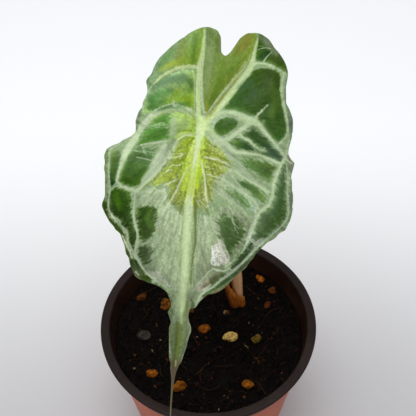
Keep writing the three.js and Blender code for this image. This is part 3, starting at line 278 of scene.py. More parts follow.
        (-35.67, 14.43)],
        (45, 84, 3), (89, 124, 66), (-28.9, 16.1), (0.55, 0.84), 7.0),
    ("p_l4c", 0.30, 0.40, [(-38.87, 22.44), (-35.67, 22.84), (-34.87, 20.44), (-35.87, 16.83), (-36.87, 12.82), (-37.27, 9.62), (-38.87, 8.42), (-39.35, 12.02),
        (-39.15, 16.83)],
        (14, 48, 3), (104, 128, 74), (-37.6, 16.8), (-0.87, 0.49), 2.7),
    ("p_l5", 0.20, 0.48, [(-39.03, 6.81), (-36.87, 8.22), (-34.06, 7.81), (-31.46, 6.61), (-30.86, 4.01), (-30.86, 0.80), (-30.62, -2.40), (-30.22, -5.61),
        (-28.85, -9.22), (-28.69, -12.02), (-29.42, -14.83), (-30.06, -17.63), (-31.26, -15.23), (-31.66, -12.02), (-32.06, -9.22), (-34.47, -7.21),
        (-35.07, -5.01), (-37.47, -3.41), (-39.19, -0.80), (-39.43, 2.81)],
        (30, 55, 3), (46, 82, 3), (-33.9, -0.9), (0.69, 0.72), 5.4),
    ("p_l6", 0.32, 0.72, [(-28.77, -2.40), (-28.05, -0.20), (-26.05, 0.80), (-23.24, 1.00), (-21.04, 0.20), (-20.44, -2.00), (-20.84, -5.21), (-21.24, -8.82),
        (-22.04, -11.62), (-24.25, -13.22), (-26.45, -13.63), (-27.45, -10.82), (-28.25, -7.21)],
        (38, 64, 3), (60, 82, 33), (-24.6, -5.7), (0.93, -0.38), 3.8),
    ("p_l7", 0.36, 0.72, [(-28.05, -15.63), (-25.25, -14.23), (-22.84, -15.23), (-22.04, -18.03), (-22.84, -20.84), (-24.45, -22.84), (-26.45, -21.64), (-28.05, -18.84)],
        (45, 64, 22), (85, 102, 70), (-25.1, -18.2), (1.00, 0.04), 2.4),
    ("p_l8", 0.24, 0.32, [(-29.66, -20.44), (-28.45, -21.24), (-26.25, -24.45), (-24.45, -27.05), (-27.25, -27.45), (-29.46, -24.85), (-30.66, -21.64)],
        (34, 55, 17), (102, 114, 74), (-28.0, -24.2), (-0.45, -0.89), 1.8),
    ("y_olive", 0.40, 1.20, [(-5.21, 29.26), (-8.98, 28.85), (-11.22, 27.45), (-12.82, 24.85), (-14.03, 22.04), (-16.43, 18.84), (-19.00, 16.03), (-22.04, 12.42),
        (-24.85, 9.42), (-21.24, 10.02), (-18.03, 10.82), (-16.03, 8.82), (-14.83, 5.61), (-15.43, 3.21), (-13.63, 1.80), (-12.02, 0.80),
        (-10.82, -1.80), (-9.62, 0.80), (-7.21, 2.00), (-5.61, 0.80), (-4.01, -0.80), (-2.00, 0.40), (0.40, -2.60), (0.20, 0.80),
        (1.60, 4.41), (2.40, 7.61), (2.00, 10.82), (4.41, 12.42), (7.21, 14.43), (9.42, 16.43), (7.21, 19.24), (7.01, 21.64),
        (4.41, 24.05), (1.20, 26.25), (-1.60, 28.45)],
        (153, 169, 86), (148, 173, 37), (-5.6, 14.8), (-0.40, 0.92), 11.7),
    ("y_lime", 0.48, 0.64, [(-3.21, 30.06), (-5.61, 27.25), (-7.61, 23.24), (-8.82, 18.43), (-10.42, 14.43), (-10.62, 9.62), (-10.02, 4.81), (-8.82, 0.80),
        (-6.01, 0.80), (-4.41, 3.21), (-4.21, 7.21), (-3.61, 11.22), (-2.00, 14.43), (-1.20, 18.43), (-2.00, 22.44), (-1.20, 26.45)],
        (193, 213, 51), (207, 232, 110), (-5.9, 15.9), (-0.74, 0.67), 6.1),
    ("y_top", 0.24, 0.56, [(-13.63, 27.65), (-12.02, 30.06), (-9.62, 31.26), (-5.61, 31.66), (-5.21, 29.86), (-8.82, 29.46), (-11.22, 28.25), (-12.82, 26.45)],
        (178, 214, 109), (173, 207, 65), (-10.8, 30.1), (0.88, 0.48), 4.5),
    # The s_ patches are painted highlights: pale shine put into the colour where the lower blade catches the light, so
    # they do not move with the light.
    ("s_shine", 0.20, 0.40, [(4.69, -12.82), (2.12, -15.63), (1.60, -19.24), (1.04, -22.44), (2.93, -23.12), (5.21, -22.36), (7.01, -23.24), (8.66, -21.64),
        (8.42, -18.84), (6.81, -15.63), (5.77, -13.43)],
        (179, 177, 162), (199, 202, 187), (4.8, -18.7), (-1.00, -0.07), 2.9),
    ("s_shine2", 0.28, 0.48, [(-24.05, -25.25), (-21.24, -24.85), (-18.43, -26.45), (-16.43, -28.85), (-14.83, -32.06), (-18.03, -30.66), (-21.64, -29.26)],
        (165, 173, 150), (173, 178, 153), (-19.2, -27.8), (0.50, 0.87), 1.3),
    ("s_shine3", 0.24, 0.40, [(-3.61, -30.06), (-1.20, -28.45), (0.80, -28.85), (1.20, -31.26), (-0.80, -32.66), (-2.81, -33.66), (-4.41, -32.86)],
        (129, 124, 96), (144, 144, 127), (-1.8, -30.7), (-0.99, 0.15), 1.8),
]
# Strokes of the leaf pattern, among them a few painted highlights and a painted reflection: colour, opacity, softness
# (mm), points (x, y, half width) in mm.
STROKES = [
    ((198, 212, 184), 0.50, 0.36, [(-5.21, 37.27, 0.18), (-6.81, 38.67, 0.19), (-8.42, 39.67, 0.23), (-11.22, 40.48, 0.29), (-13.63, 40.76, 0.35), (-15.63, 39.88, 0.35),
        (-18.84, 38.87, 0.33), (-22.04, 37.03, 0.40), (-24.25, 35.27, 0.46), (-26.45, 32.86, 0.46), (-28.05, 30.46, 0.44), (-29.66, 27.25, 0.48),
        (-31.98, 23.64, 0.46), (-33.82, 19.64, 0.33), (-35.43, 15.23, 0.23), (-36.59, 11.22, 0.18), (-35.67, 9.22, 0.18), (-32.46, 8.02, 0.19),
        (-29.26, 7.21, 0.22)]),
    ((198, 212, 184), 0.50, 0.36, [(-12.62, 26.45, 0.22), (-14.03, 24.05, 0.30), (-15.63, 20.84, 0.40), (-18.03, 17.23, 0.44), (-21.24, 14.03, 0.40), (-24.45, 10.82, 0.30),
        (-27.65, 8.02, 0.22), (-29.46, 7.01, 0.16)]),
    ((198, 212, 184), 0.50, 0.36, [(17.83, 57.71, 0.25), (20.04, 58.11, 0.20), (22.44, 57.95, 0.19), (24.85, 57.31, 0.16), (27.65, 55.99, 0.14), (30.66, 54.10, 0.11)]),
    ((198, 212, 184), 0.50, 0.36, [(0.00, 33.66, 0.22), (1.80, 35.87, 0.27), (4.01, 37.67, 0.26), (6.41, 38.47, 0.25), (10.02, 38.35, 0.30), (14.03, 36.87, 0.38),
        (17.63, 35.47, 0.41), (20.44, 33.46, 0.35), (22.84, 30.46, 0.30), (26.05, 26.45, 0.23), (29.26, 22.44, 0.19), (30.86, 20.04, 0.19)]),
    ((198, 212, 184), 0.50, 0.36, [(0.40, 32.06, 0.30), (2.00, 29.66, 0.38), (4.81, 27.25, 0.41), (8.02, 24.85, 0.35), (10.82, 22.64, 0.33), (15.63, 21.96, 0.20),
        (20.44, 21.24, 0.16), (24.45, 19.84, 0.16), (28.45, 18.03, 0.19)]),
    ((198, 212, 184), 0.50, 0.36, [(5.61, 27.25, 0.30), (8.42, 28.05, 0.33), (11.22, 30.06, 0.30), (14.03, 32.06, 0.33), (17.23, 34.47, 0.38)]),
    ((198, 212, 184), 0.50, 0.36, [(12.02, 30.46, 0.25), (14.03, 28.25, 0.16), (16.43, 27.05, 0.14), (18.03, 25.25, 0.11), (20.84, 23.64, 0.08), (23.24, 22.84, 0.05)]),
    ((198, 212, 184), 0.50, 0.36, [(30.66, 19.84, 0.19), (29.09, 17.23, 0.20), (27.65, 13.63, 0.23), (26.25, 9.62, 0.23), (25.81, 4.81, 0.23), (24.25, 1.20, 0.26),
        (21.24, -0.80, 0.27), (19.64, -3.21, 0.22), (18.92, -5.61, 0.18), (17.79, -9.22, 0.18), (15.83, -12.42, 0.14), (14.27, -16.03, 0.12),
        (12.42, -19.24, 0.12), (9.62, -21.84, 0.12), (7.21, -23.24, 0.12)]),
    ((198, 212, 184), 0.50, 0.36, [(7.21, 16.83, 0.16), (11.22, 14.43, 0.19), (16.03, 11.22, 0.19), (20.44, 9.02, 0.22), (24.05, 6.41, 0.22)]),
    ((198, 212, 184), 0.50, 0.36, [(5.61, 12.02, 0.12), (10.42, 8.82, 0.15), (15.23, 5.61, 0.18), (18.84, 2.40, 0.20), (20.44, -0.40, 0.22)]),
    ((188, 204, 170), 0.55, 1.20, [(-14.03, 24.45, 0.60), (-17.23, 20.04, 1.28), (-20.44, 15.63, 1.44), (-23.64, 11.22, 1.04)]),
    ((182, 198, 166), 0.50, 1.20, [(-0.40, 28.45, 0.40), (2.40, 26.05, 0.48), (5.61, 23.24, 0.64), (9.62, 19.24, 1.12), (13.63, 15.23, 1.28), (17.63, 11.22, 1.12),
        (21.64, 8.02, 0.80)]),
    ((178, 202, 74), 0.60, 0.88, [(-7.21, 23.24, 0.56), (-8.02, 19.24, 0.64), (-8.42, 14.43, 0.72), (-8.82, 9.62, 0.72), (-9.22, 5.61, 0.48)]),
    ((166, 204, 56), 0.75, 0.88, [(-8.42, 20.04, 0.48), (-9.62, 16.83, 0.72), (-10.42, 12.82, 0.76), (-10.82, 8.02, 0.48)]),
    ((182, 212, 84), 0.75, 0.88, [(-2.00, 28.05, 0.64), (-1.60, 24.85, 0.80), (-1.20, 20.84, 0.64), (-0.80, 17.63, 0.64)]),
    ((160, 196, 60), 0.70, 0.88, [(-3.61, 16.03, 0.56), (-3.61, 11.22, 0.80), (-4.01, 6.41, 0.52)]),
    ((190, 210, 104), 0.70, 0.96, [(-6.01, 15.23, 0.96), (-6.41, 10.42, 1.12), (-6.81, 6.01, 0.96)]),
    ((200, 222, 130), 0.75, 0.96, [(-3.61, 29.66, 1.36), (-4.17, 25.25, 1.20), (-4.81, 21.24, 1.12), (-5.61, 16.43, 0.96), (-6.01, 12.82, 0.56)]),
    ((98, 104, 30), 0.60, 0.48, [(-2.00, 23.24, 0.41), (2.40, 22.04, 0.34), (5.61, 20.04, 0.27), (8.02, 18.84, 0.17)]),
    ((98, 104, 30), 0.60, 0.48, [(-1.60, 19.84, 0.27), (1.60, 18.84, 0.31), (4.81, 17.79, 0.31), (9.22, 16.03, 0.20)]),
    ((98, 104, 30), 0.60, 0.48, [(-0.80, 17.63, 0.27), (2.00, 16.83, 0.31), (4.41, 15.63, 0.17)]),
    ((98, 104, 30), 0.60, 0.48, [(-0.80, 15.23, 0.27), (2.40, 14.83, 0.31), (5.61, 13.83, 0.17)]),
    ((98, 104, 30), 0.60, 0.48, [(-0.40, 13.22, 0.24), (2.81, 12.66, 0.20)]),
    ((98, 104, 30), 0.60, 0.48, [(0.40, 24.85, 0.34), (3.21, 24.25, 0.34), (6.41, 22.04, 0.20)]),
    ((98, 104, 30), 0.60, 0.48, [(-0.80, 26.85, 0.31), (1.60, 25.25, 0.31), (4.41, 23.64, 0.17)]),
    ((98, 104, 30), 0.60, 0.48, [(-0.80, 10.82, 0.31), (0.16, 8.02, 0.37), (0.40, 4.81, 0.34), (1.60, 2.81, 0.27)]),
    ((98, 104, 30), 0.60, 0.48, [(-2.81, 7.21, 0.27), (-2.40, 4.41, 0.31), (-2.81, 2.00, 0.20)]),
    ((98, 104, 30), 0.60, 0.48, [(-5.21, 8.02, 0.24), (-4.81, 4.41, 0.37), (-4.81, 0.80, 0.48), (-5.01, -2.40, 0.34)]),
    ((98, 104, 30), 0.60, 0.48, [(-2.00, 2.00, 0.31), (-0.80, -0.40, 0.41), (0.24, -2.60, 0.41)]),
    ((98, 104, 30), 0.60, 0.48, [(-4.01, 3.61, 0.27), (-3.21, 1.60, 0.27)]),
    ((98, 104, 30), 0.60, 0.48, [(1.20, 21.64, 0.24), (4.41, 20.60, 0.20)]),
    ((98, 104, 30), 0.60, 0.48, [(1.60, 10.02, 0.20), (4.01, 9.62, 0.14)]),
    ((98, 104, 30), 0.60, 0.48, [(2.40, 11.62, 0.17), (4.81, 11.22, 0.14)]),
    ((98, 104, 30), 0.60, 0.48, [(0.80, 7.21, 0.17), (3.21, 6.01, 0.14)]),
    ((98, 104, 30), 0.60, 0.48, [(1.20, 16.23, 0.20), (4.01, 14.83, 0.17)]),
    ((98, 104, 30), 0.60, 0.48, [(0.80, 23.24, 0.20), (3.61, 22.44, 0.20)]),
    ((98, 104, 30), 0.60, 0.48, [(-3.21, 23.24, 0.27), (-2.40, 20.04, 0.24)]),
    ((98, 104, 30), 0.55, 0.48, [(-14.43, 22.44, 0.31), (-12.02, 22.04, 0.27), (-9.62, 22.44, 0.17)]),
    ((98, 104, 30), 0.55, 0.48, [(-16.03, 19.24, 0.31), (-13.22, 18.43, 0.27), (-10.42, 19.24, 0.17)]),
    ((98, 104, 30), 0.55, 0.48, [(-18.03, 16.43, 0.37), (-16.03, 18.43, 0.37), (-14.43, 20.04, 0.31)]),
    ((98, 104, 30), 0.55, 0.48, [(-21.24, 12.02, 0.34), (-19.24, 14.43, 0.37), (-16.83, 17.23, 0.31)]),
    ((98, 104, 30), 0.55, 0.48, [(-25.05, 8.82, 0.34), (-23.24, 10.42, 0.27), (-20.84, 12.02, 0.20)]),
    ((98, 104, 30), 0.55, 0.48, [(-16.83, 10.42, 0.24), (-14.43, 11.22, 0.24), (-12.02, 12.42, 0.14)]),
    ((98, 104, 30), 0.55, 0.48, [(-12.82, 12.82, 0.24), (-12.02, 15.23, 0.24), (-11.62, 16.83, 0.17)]),
    ((98, 104, 30), 0.55, 0.48, [(-15.83, 2.81, 0.37), (-14.43, 5.61, 0.41), (-12.82, 8.02, 0.34), (-11.62, 10.42, 0.20)]),
    ((98, 104, 30), 0.55, 0.48, [(-14.03, 1.40, 0.48), (-12.02, 3.61, 0.51), (-10.82, 6.41, 0.37)]),
    ((98, 104, 30), 0.55, 0.48, [(-11.22, -1.60, 0.41), (-10.42, 0.80, 0.48), (-9.62, 3.61, 0.41), (-8.82, 7.21, 0.20)]),
    ((98, 104, 30), 0.55, 0.48, [(-13.22, 1.00, 0.41), (-11.62, 2.00, 0.34)]),
    ((98, 104, 30), 0.55, 0.48, [(-15.23, 14.43, 0.24), (-13.22, 15.23, 0.24)]),
    ((98, 104, 30), 0.55, 0.48, [(-18.43, 12.02, 0.20), (-16.03, 12.82, 0.17)]),
    ((98, 104, 30), 0.55, 0.48, [(-13.63, 25.25, 0.24), (-12.02, 26.85, 0.24), (-9.62, 28.05, 0.17)]),
    ((98, 104, 30), 0.55, 0.48, [(-14.83, 23.24, 0.24), (-13.63, 25.25, 0.24)]),
    ((98, 104, 30), 0.55, 0.48, [(-14.43, 8.82, 0.20), (-12.82, 10.02, 0.17)]),
    ((98, 104, 30), 0.55, 0.48, [(-13.22, 6.41, 0.17), (-12.02, 8.42, 0.17)]),
    ((98, 104, 30), 0.55, 0.48, [(-12.02, 24.05, 0.17), (-9.62, 24.45, 0.17)]),
    ((226, 234, 198), 0.72, 0.36, [(-1.60, 20.44, 0.17), (0.80, 19.84, 0.23), (3.21, 19.24, 0.23), (5.61, 18.43, 0.29), (8.42, 17.83, 0.23)]),
    ((226, 234, 198), 0.72, 0.36, [(-3.21, 19.24, 0.12), (-2.40, 16.83, 0.17), (-1.80, 14.03, 0.23), (-1.20, 10.82, 0.26), (-1.00, 8.02, 0.29), (-1.12, 5.61, 0.38),
        (-0.40, 2.81, 0.29), (0.00, 0.40, 0.14)]),
    ((226, 234, 198), 0.72, 0.36, [(-8.42, 16.03, 0.14), (-9.62, 13.22, 0.17), (-10.82, 10.42, 0.23), (-12.02, 7.61, 0.29), (-13.63, 4.81, 0.35), (-15.23, 2.40, 0.38)]),
    ((226, 234, 198), 0.72, 0.36, [(-10.02, 21.64, 0.09), (-11.22, 20.84, 0.14), (-12.82, 20.24, 0.20), (-16.03, 20.24, 0.17)]),
    ((226, 234, 198), 0.72, 0.36, [(-14.03, 21.84, 0.09), (-12.02, 21.64, 0.12), (-10.42, 22.04, 0.09)]),
    ((226, 234, 198), 0.72, 0.36, [(-13.22, 16.83, 0.12), (-11.22, 17.23, 0.12), (-10.02, 18.03, 0.09)]),
    ((226, 234, 198), 0.72, 0.36, [(-19.24, 12.82, 0.12), (-17.23, 14.43, 0.14), (-15.23, 15.63, 0.12)]),
    ((226, 234, 198), 0.72, 0.36, [(-17.63, 9.22, 0.12), (-15.23, 10.02, 0.12), (-13.22, 11.22, 0.12)]),
    ((226, 234, 198), 0.72, 0.36, [(0.80, 12.82, 0.14), (2.81, 12.42, 0.20), (5.21, 12.22, 0.12)]),
    ((226, 234, 198), 0.72, 0.36, [(1.20, 11.22, 0.09), (3.21, 11.02, 0.09)]),
    ((226, 234, 198), 0.72, 0.36, [(-0.80, 13.43, 0.09), (2.00, 13.31, 0.09)]),
    ((226, 234, 198), 0.72, 0.36, [(4.01, 17.63, 0.09), (4.81, 16.03, 0.09), (6.41, 15.23, 0.09)]),
    ((226, 234, 198), 0.72, 0.36, [(-3.61, 2.81, 0.14), (-2.00, 3.61, 0.17), (-0.80, 4.01, 0.14)]),
    ((226, 234, 198), 0.72, 0.36, [(-4.81, 3.21, 0.12), (-3.61, 1.60, 0.17), (-3.21, 0.00, 0.14)]),
    ((226, 234, 198), 0.72, 0.36, [(-8.02, 4.81, 0.12), (-8.82, 2.81, 0.14)]),
    ((226, 234, 198), 0.72, 0.36, [(1.60, 23.24, 0.09), (3.61, 22.64, 0.12), (6.01, 21.24, 0.12)]),
    ((226, 234, 198), 0.72, 0.36, [(0.00, 16.43, 0.09), (2.00, 15.79, 0.09)]),
    ((226, 234, 198), 0.72, 0.36, [(0.40, 14.19, 0.09), (3.21, 13.87, 0.09)]),
    ((226, 234, 198), 0.72, 0.36, [(-0.80, 26.05, 0.14), (1.60, 24.45, 0.17), (4.41, 23.24, 0.17), (6.81, 21.24, 0.17)]),
    ((236, 244, 208), 0.95, 0.40, [(-3.77, 30.06, 0.80), (-4.21, 25.25, 0.48), (-5.01, 21.24, 0.40), (-5.93, 16.03, 0.24)]),
    ((222, 234, 176), 0.70, 0.40, [(-3.29, 28.85, 0.28), (-3.29, 24.85, 0.24), (-3.61, 20.04, 0.24), (-4.01, 16.43, 0.16)]),
    ((168, 192, 138), 0.60, 0.48, [(1.60, 1.20, 0.24), (1.40, -6.81, 0.36), (1.00, -14.83, 0.36), (0.24, -21.64, 0.24)]),
    ((164, 190, 140), 0.60, 0.48, [(-20.04, -8.82, 0.24), (-20.44, -14.83, 0.36), (-20.04, -20.04, 0.36), (-18.84, -25.65, 0.36), (-16.83, -30.86, 0.24)]),
    ((142, 168, 110), 0.55, 0.48, [(-11.22, -11.22, 0.20), (-11.42, -16.83, 0.28), (-11.42, -22.84, 0.28), (-11.02, -29.66, 0.20)]),
    ((150, 172, 116), 0.50, 0.48, [(-14.43, -0.80, 0.20), (-15.23, -6.81, 0.28), (-15.63, -12.82, 0.28), (-15.23, -19.24, 0.24)]),
    ((210, 220, 204), 0.70, 0.24, [(10.02, -2.81, 0.12), (9.62, -4.81, 0.20), (10.82, -8.02, 0.16), (12.02, -10.02, 0.12)]),
    ((196, 208, 188), 0.60, 0.24, [(6.41, -3.21, 0.12), (8.42, -3.61, 0.12)]),
    ((196, 208, 188), 0.50, 0.24, [(7.21, -7.21, 0.12), (9.62, -8.82, 0.12), (12.02, -9.22, 0.12)]),
    ((196, 208, 188), 0.50, 0.24, [(8.02, -12.02, 0.12), (10.42, -12.82, 0.12)]),
    # Painted highlight: the bright shine at the foot of s_shine on the lower right of the blade.
    ((214, 222, 208), 0.80, 0.28, [(1.60, -24.05, 0.20), (3.21, -24.85, 0.28), (6.41, -25.41, 0.24), (8.82, -24.05, 0.24)]),
    ((74, 100, 56), 0.70, 0.48, [(15.23, -21.64, 0.72), (12.82, -24.45, 0.88), (9.62, -27.25, 0.88), (6.41, -29.66, 0.88), (3.21, -31.66, 0.80)]),
    ((72, 98, 52), 0.60, 0.48, [(15.23, -14.03, 1.04), (13.63, -17.63, 1.12), (11.62, -21.24, 0.96), (8.82, -23.64, 0.56)]),
    ((196, 207, 190), 0.80, 0.32, [(21.64, -12.02, 0.32), (19.24, -14.43, 0.36), (16.43, -17.63, 0.36), (14.43, -21.64, 0.28), (11.22, -24.85, 0.32), (8.02, -27.25, 0.32),
        (5.61, -28.65, 0.36), (3.61, -30.06, 0.32), (1.60, -32.06, 0.36), (-1.20, -32.86, 0.36), (-2.81, -33.66, 0.32)]),
    ((120, 144, 112), 0.55, 0.28, [(20.04, -15.23, 0.20), (16.83, -20.04, 0.24), (13.63, -24.05, 0.24), (9.62, -28.45, 0.24), (5.61, -32.06, 0.24), (0.80, -34.47, 0.20)]),
    ((200, 210, 196), 0.75, 0.36, [(19.24, 0.40, 0.32), (18.84, -4.81, 0.44), (17.23, -9.22, 0.72), (16.43, -11.22, 0.80), (15.23, -15.23, 0.40), (13.22, -18.84, 0.36),
        (11.22, -21.64, 0.32), (8.42, -24.05, 0.28)]),
    ((56, 84, 22), 0.70, 0.60, [(-39.67, 4.81, 0.88), (-39.67, 0.00, 0.96), (-38.07, -5.61, 0.96), (-34.87, -10.42, 0.80)]),
    ((60, 82, 44), 0.60, 0.48, [(-31.26, -17.63, 0.64), (-29.66, -21.64, 0.80), (-27.65, -25.25, 0.80)]),
    # Partly the pale margin vein, partly a painted reflection: the glossy strip along the lower left margin.
    ((196, 206, 186), 0.75, 0.32, [(-40.32, -0.40, 0.32), (-38.87, -3.61, 0.56), (-36.07, -6.41, 0.44), (-33.66, -9.22, 0.40), (-32.46, -12.82, 0.40), (-31.66, -16.03, 0.44),
        (-30.06, -18.43, 0.40), (-28.05, -20.84, 0.32), (-26.45, -23.64, 0.32), (-24.45, -26.05, 0.36), (-22.44, -28.05, 0.40), (-20.44, -29.26, 0.32)]),
    ((190, 204, 172), 0.70, 0.32, [(-29.66, 1.20, 0.32), (-29.86, -2.81, 0.36), (-29.26, -7.21, 0.36), (-28.05, -10.42, 0.36), (-28.65, -14.03, 0.36), (-29.26, -17.63, 0.36)]),
    ((180, 196, 166), 0.55, 0.28, [(-28.65, -14.03, 0.24), (-25.25, -14.03, 0.24), (-22.44, -14.03, 0.16)]),
    # Painted highlight: brightens the shine of s_shine2 on the lower left of the blade.
    ((180, 192, 160), 0.55, 0.48, [(-24.85, -26.45, 0.48), (-22.44, -26.85, 0.72), (-20.04, -27.65, 0.88), (-17.63, -29.26, 0.80), (-16.03, -30.86, 0.48)]),
    ((150, 162, 126), 0.50, 0.28, [(-32.86, -12.02, 0.20), (-30.86, -16.83, 0.20), (-29.66, -21.64, 0.16), (-28.45, -25.65, 0.20)]),
    ((80, 90, 42), 0.85, 0.56, [(-12.26, -45.69, 0.40), (-12.58, -50.50, 0.60), (-12.98, -55.30, 0.60), (-13.47, -60.91, 0.48), (-13.79, -64.92, 0.32)]),
    ((128, 144, 90), 0.85, 0.48, [(-9.62, -46.49, 0.40), (-9.62, -51.30, 0.56), (-10.82, -56.51, 0.52), (-11.78, -61.72, 0.36)]),
    ((146, 154, 126), 0.85, 0.36, [(-15.23, -44.08, 0.24), (-15.79, -49.29, 0.32), (-15.23, -54.90, 0.28), (-14.43, -60.91, 0.24)]),
    ((150, 158, 128), 0.85, 0.36, [(-8.18, -44.08, 0.20), (-7.21, -49.29, 0.36), (-8.42, -53.70, 0.32), (-10.42, -60.11, 0.24)]),
    ((72, 90, 60), 0.75, 0.60, [(-6.41, -36.07, 0.56), (-6.01, -38.47, 0.64), (-6.81, -41.68, 0.56)]),
    ((84, 102, 72), 0.70, 0.60, [(-16.03, -35.27, 0.60), (-14.83, -39.27, 0.60), (-14.43, -42.48, 0.48)]),
    ((58, 64, 34), 0.80, 0.40, [(-13.39, -57.71, 0.32), (-13.87, -61.72, 0.32), (-14.19, -65.72, 0.24)]),
    ((116, 120, 40), 0.45, 3.21, [(-9.62, 66.53, 1.20), (-11.22, 61.72, 1.60), (-12.42, 58.51, 1.20)]),
    ((166, 184, 76), 0.70, 1.40, [(-12.82, 58.11, 1.00), (-16.03, 56.91, 1.00), (-19.24, 55.30, 0.80)]),
    ((66, 104, 44), 0.50, 2.40, [(-4.81, 68.93, 1.00), (-5.61, 63.32, 1.20), (-6.01, 58.51, 1.00)]),
    ((72, 112, 66), 0.50, 2.40, [(-22.44, 48.09, 1.00), (-16.83, 51.30, 1.60), (-10.42, 52.10, 1.60), (-6.41, 49.69, 1.20)]),
    ((122, 160, 36), 0.60, 2.00, [(-12.02, 46.49, 1.20), (-13.63, 43.68, 1.60), (-16.03, 41.68, 1.20)]),
    ((56, 104, 44), 0.60, 2.00, [(-23.24, 44.08, 1.40), (-21.64, 40.08, 1.40), (-17.63, 40.08, 1.20), (-8.02, 41.68, 1.20)]),
    ((190, 204, 170), 0.50, 0.56, [(-14.03, 44.48, 0.16), (-13.63, 42.48, 0.36), (-13.22, 40.48, 0.56)]),
    ((196, 160, 60), 0.60, 0.24, [(-12.82, 47.29, 0.20), (-12.02, 47.53, 0.16)]),
    ((196, 160, 60), 0.50, 0.24, [(-14.43, 45.93, 0.16), (-13.63, 46.33, 0.12)]),
    ((214, 222, 176), 0.50, 0.32, [(-2.97, 57.71, 0.20), (-2.73, 49.69, 0.20), (-2.56, 44.08, 0.20), (-1.60, 39.27, 0.20)]),
    ((120, 114, 48), 0.50, 0.32, [(-4.57, 56.91, 0.20), (-4.97, 49.69, 0.20), (-5.13, 44.08, 0.20), (-4.97, 38.47, 0.20)]),
    ((116, 112, 50), 0.50, 0.32, [(12.02, 52.10, 0.20), (8.02, 47.29, 0.20), (4.41, 42.88, 0.20), (1.60, 39.27, 0.20)]),
    ((160, 178, 128), 0.50, 0.32, [(15.63, 64.12, 0.16), (17.63, 64.92, 0.16), (20.84, 64.92, 0.16), (24.05, 64.12, 0.20), (26.85, 62.92, 0.16)]),
    ((206, 218, 190), 0.80, 0.32, [(-5.61, 38.87, 0.24), (-8.02, 40.08, 0.28), (-10.42, 40.88, 0.32), (-13.22, 41.44, 0.32), (-15.23, 41.52, 0.32), (-17.23, 41.08, 0.32),
        (-19.24, 40.32, 0.32), (-21.64, 38.67, 0.32), (-23.64, 36.87, 0.32), (-26.05, 33.66, 0.32), (-27.65, 31.26, 0.28), (-29.26, 28.45, 0.24),
        (-31.26, 26.05, 0.24), (-33.66, 23.24, 0.24), (-35.03, 18.84, 0.24), (-35.91, 14.43, 0.24), (-36.47, 10.82, 0.28), (-34.87, 8.82, 0.28),
        (-30.86, 7.85, 0.28), (-28.05, 9.06, 0.20)]),
    ((196, 208, 172), 0.60, 0.32, [(-6.01, 36.47, 0.20), (-8.02, 37.83, 0.24), (-10.42, 38.87, 0.24), (-12.82, 39.43, 0.24), (-14.83, 39.67, 0.24), (-17.23, 39.11, 0.20),
        (-19.24, 38.07, 0.16)]),
    ((206, 230, 158), 0.95, 0.80, [(-2.00, 35.67, 1.36), (-2.40, 33.66, 2.00), (-2.97, 31.26, 1.92), (-3.45, 28.85, 1.28), (-3.85, 26.45, 0.88)]),
    ((228, 240, 190), 0.60, 0.80, [(-2.81, 32.86, 0.96), (-3.21, 30.46, 0.88)]),
    ((202, 216, 164), 0.85, 0.40, [(-5.21, 29.66, 0.36), (-7.21, 29.82, 0.48), (-9.42, 29.50, 0.48), (-11.22, 28.61, 0.44), (-12.62, 26.85, 0.40), (-14.03, 24.45, 0.28)]),
    ((112, 118, 40), 0.60, 0.40, [(-12.02, 30.46, 0.32), (-9.62, 31.10, 0.40), (-6.81, 31.10, 0.36)]),
    ((140, 162, 52), 0.60, 0.48, [(-5.85, 38.47, 0.32), (-6.01, 35.27, 0.40), (-5.85, 32.06, 0.40)]),
    ((152, 150, 60), 0.60, 0.44, [(15.63, 57.71, 0.36), (11.82, 52.50, 0.40), (8.62, 48.09, 0.40), (5.21, 43.28, 0.44), (2.40, 39.27, 0.52), (0.00, 36.47, 0.56),
        (-1.44, 35.27, 0.32)]),
    ((198, 214, 162), 0.80, 0.32, [(15.03, 58.51, 0.20), (11.22, 53.30, 0.24), (8.02, 49.29, 0.24), (4.41, 44.48, 0.24), (1.80, 40.48, 0.28), (-0.40, 38.31, 0.32),
        (-1.76, 38.47, 0.32), (-2.48, 40.88, 0.24), (-2.73, 46.49, 0.24), (-2.64, 52.10, 0.24), (-2.24, 56.91, 0.24), (-1.52, 62.52, 0.20),
        (-1.04, 66.53, 0.16)]),
    ((212, 226, 180), 0.60, 0.40, [(14.43, 52.90, 0.20), (11.22, 48.49, 0.24), (7.21, 43.28, 0.28), (3.61, 38.87, 0.32)]),
    ((210, 222, 176), 0.60, 0.40, [(-4.49, 56.91, 0.20), (-4.65, 49.69, 0.24), (-4.57, 43.28, 0.24), (-4.01, 37.67, 0.28)]),
    ((164, 186, 116), 0.50, 0.40, [(-3.61, 56.91, 0.20), (-3.69, 49.69, 0.20), (-3.61, 43.28, 0.20)]),
    ((92, 124, 34), 0.40, 3.21, [(28.45, 46.49, 0.80), (27.65, 41.68, 1.20), (25.65, 36.87, 1.20)]),
    ((56, 88, 58), 0.45, 2.40, [(15.23, 49.69, 0.80), (12.02, 44.88, 1.20), (9.62, 41.68, 0.80)]),
    ((52, 78, 34), 0.40, 2.00, [(21.64, 52.90, 0.80), (24.85, 50.50, 1.20), (26.45, 47.29, 0.80)]),
    ((190, 208, 160), 0.80, 0.36, [(30.46, 54.10, 0.24), (29.66, 51.30, 0.28), (29.05, 48.89, 0.28), (29.26, 45.69, 0.28), (30.06, 41.68, 0.28), (31.06, 37.67, 0.28),
        (31.86, 33.66, 0.28), (31.78, 30.06, 0.28), (30.46, 27.65, 0.24), (28.45, 25.85, 0.24)]),
    ((178, 200, 150), 0.85, 0.40, [(24.45, 41.68, 0.12), (22.44, 39.67, 0.24), (20.44, 37.67, 0.40), (19.24, 35.87, 0.72)]),
    ((66, 92, 40), 0.60, 0.80, [(16.83, 28.85, 0.80), (19.24, 27.65, 1.20), (22.04, 26.45, 0.96), (24.05, 25.65, 0.40)]),
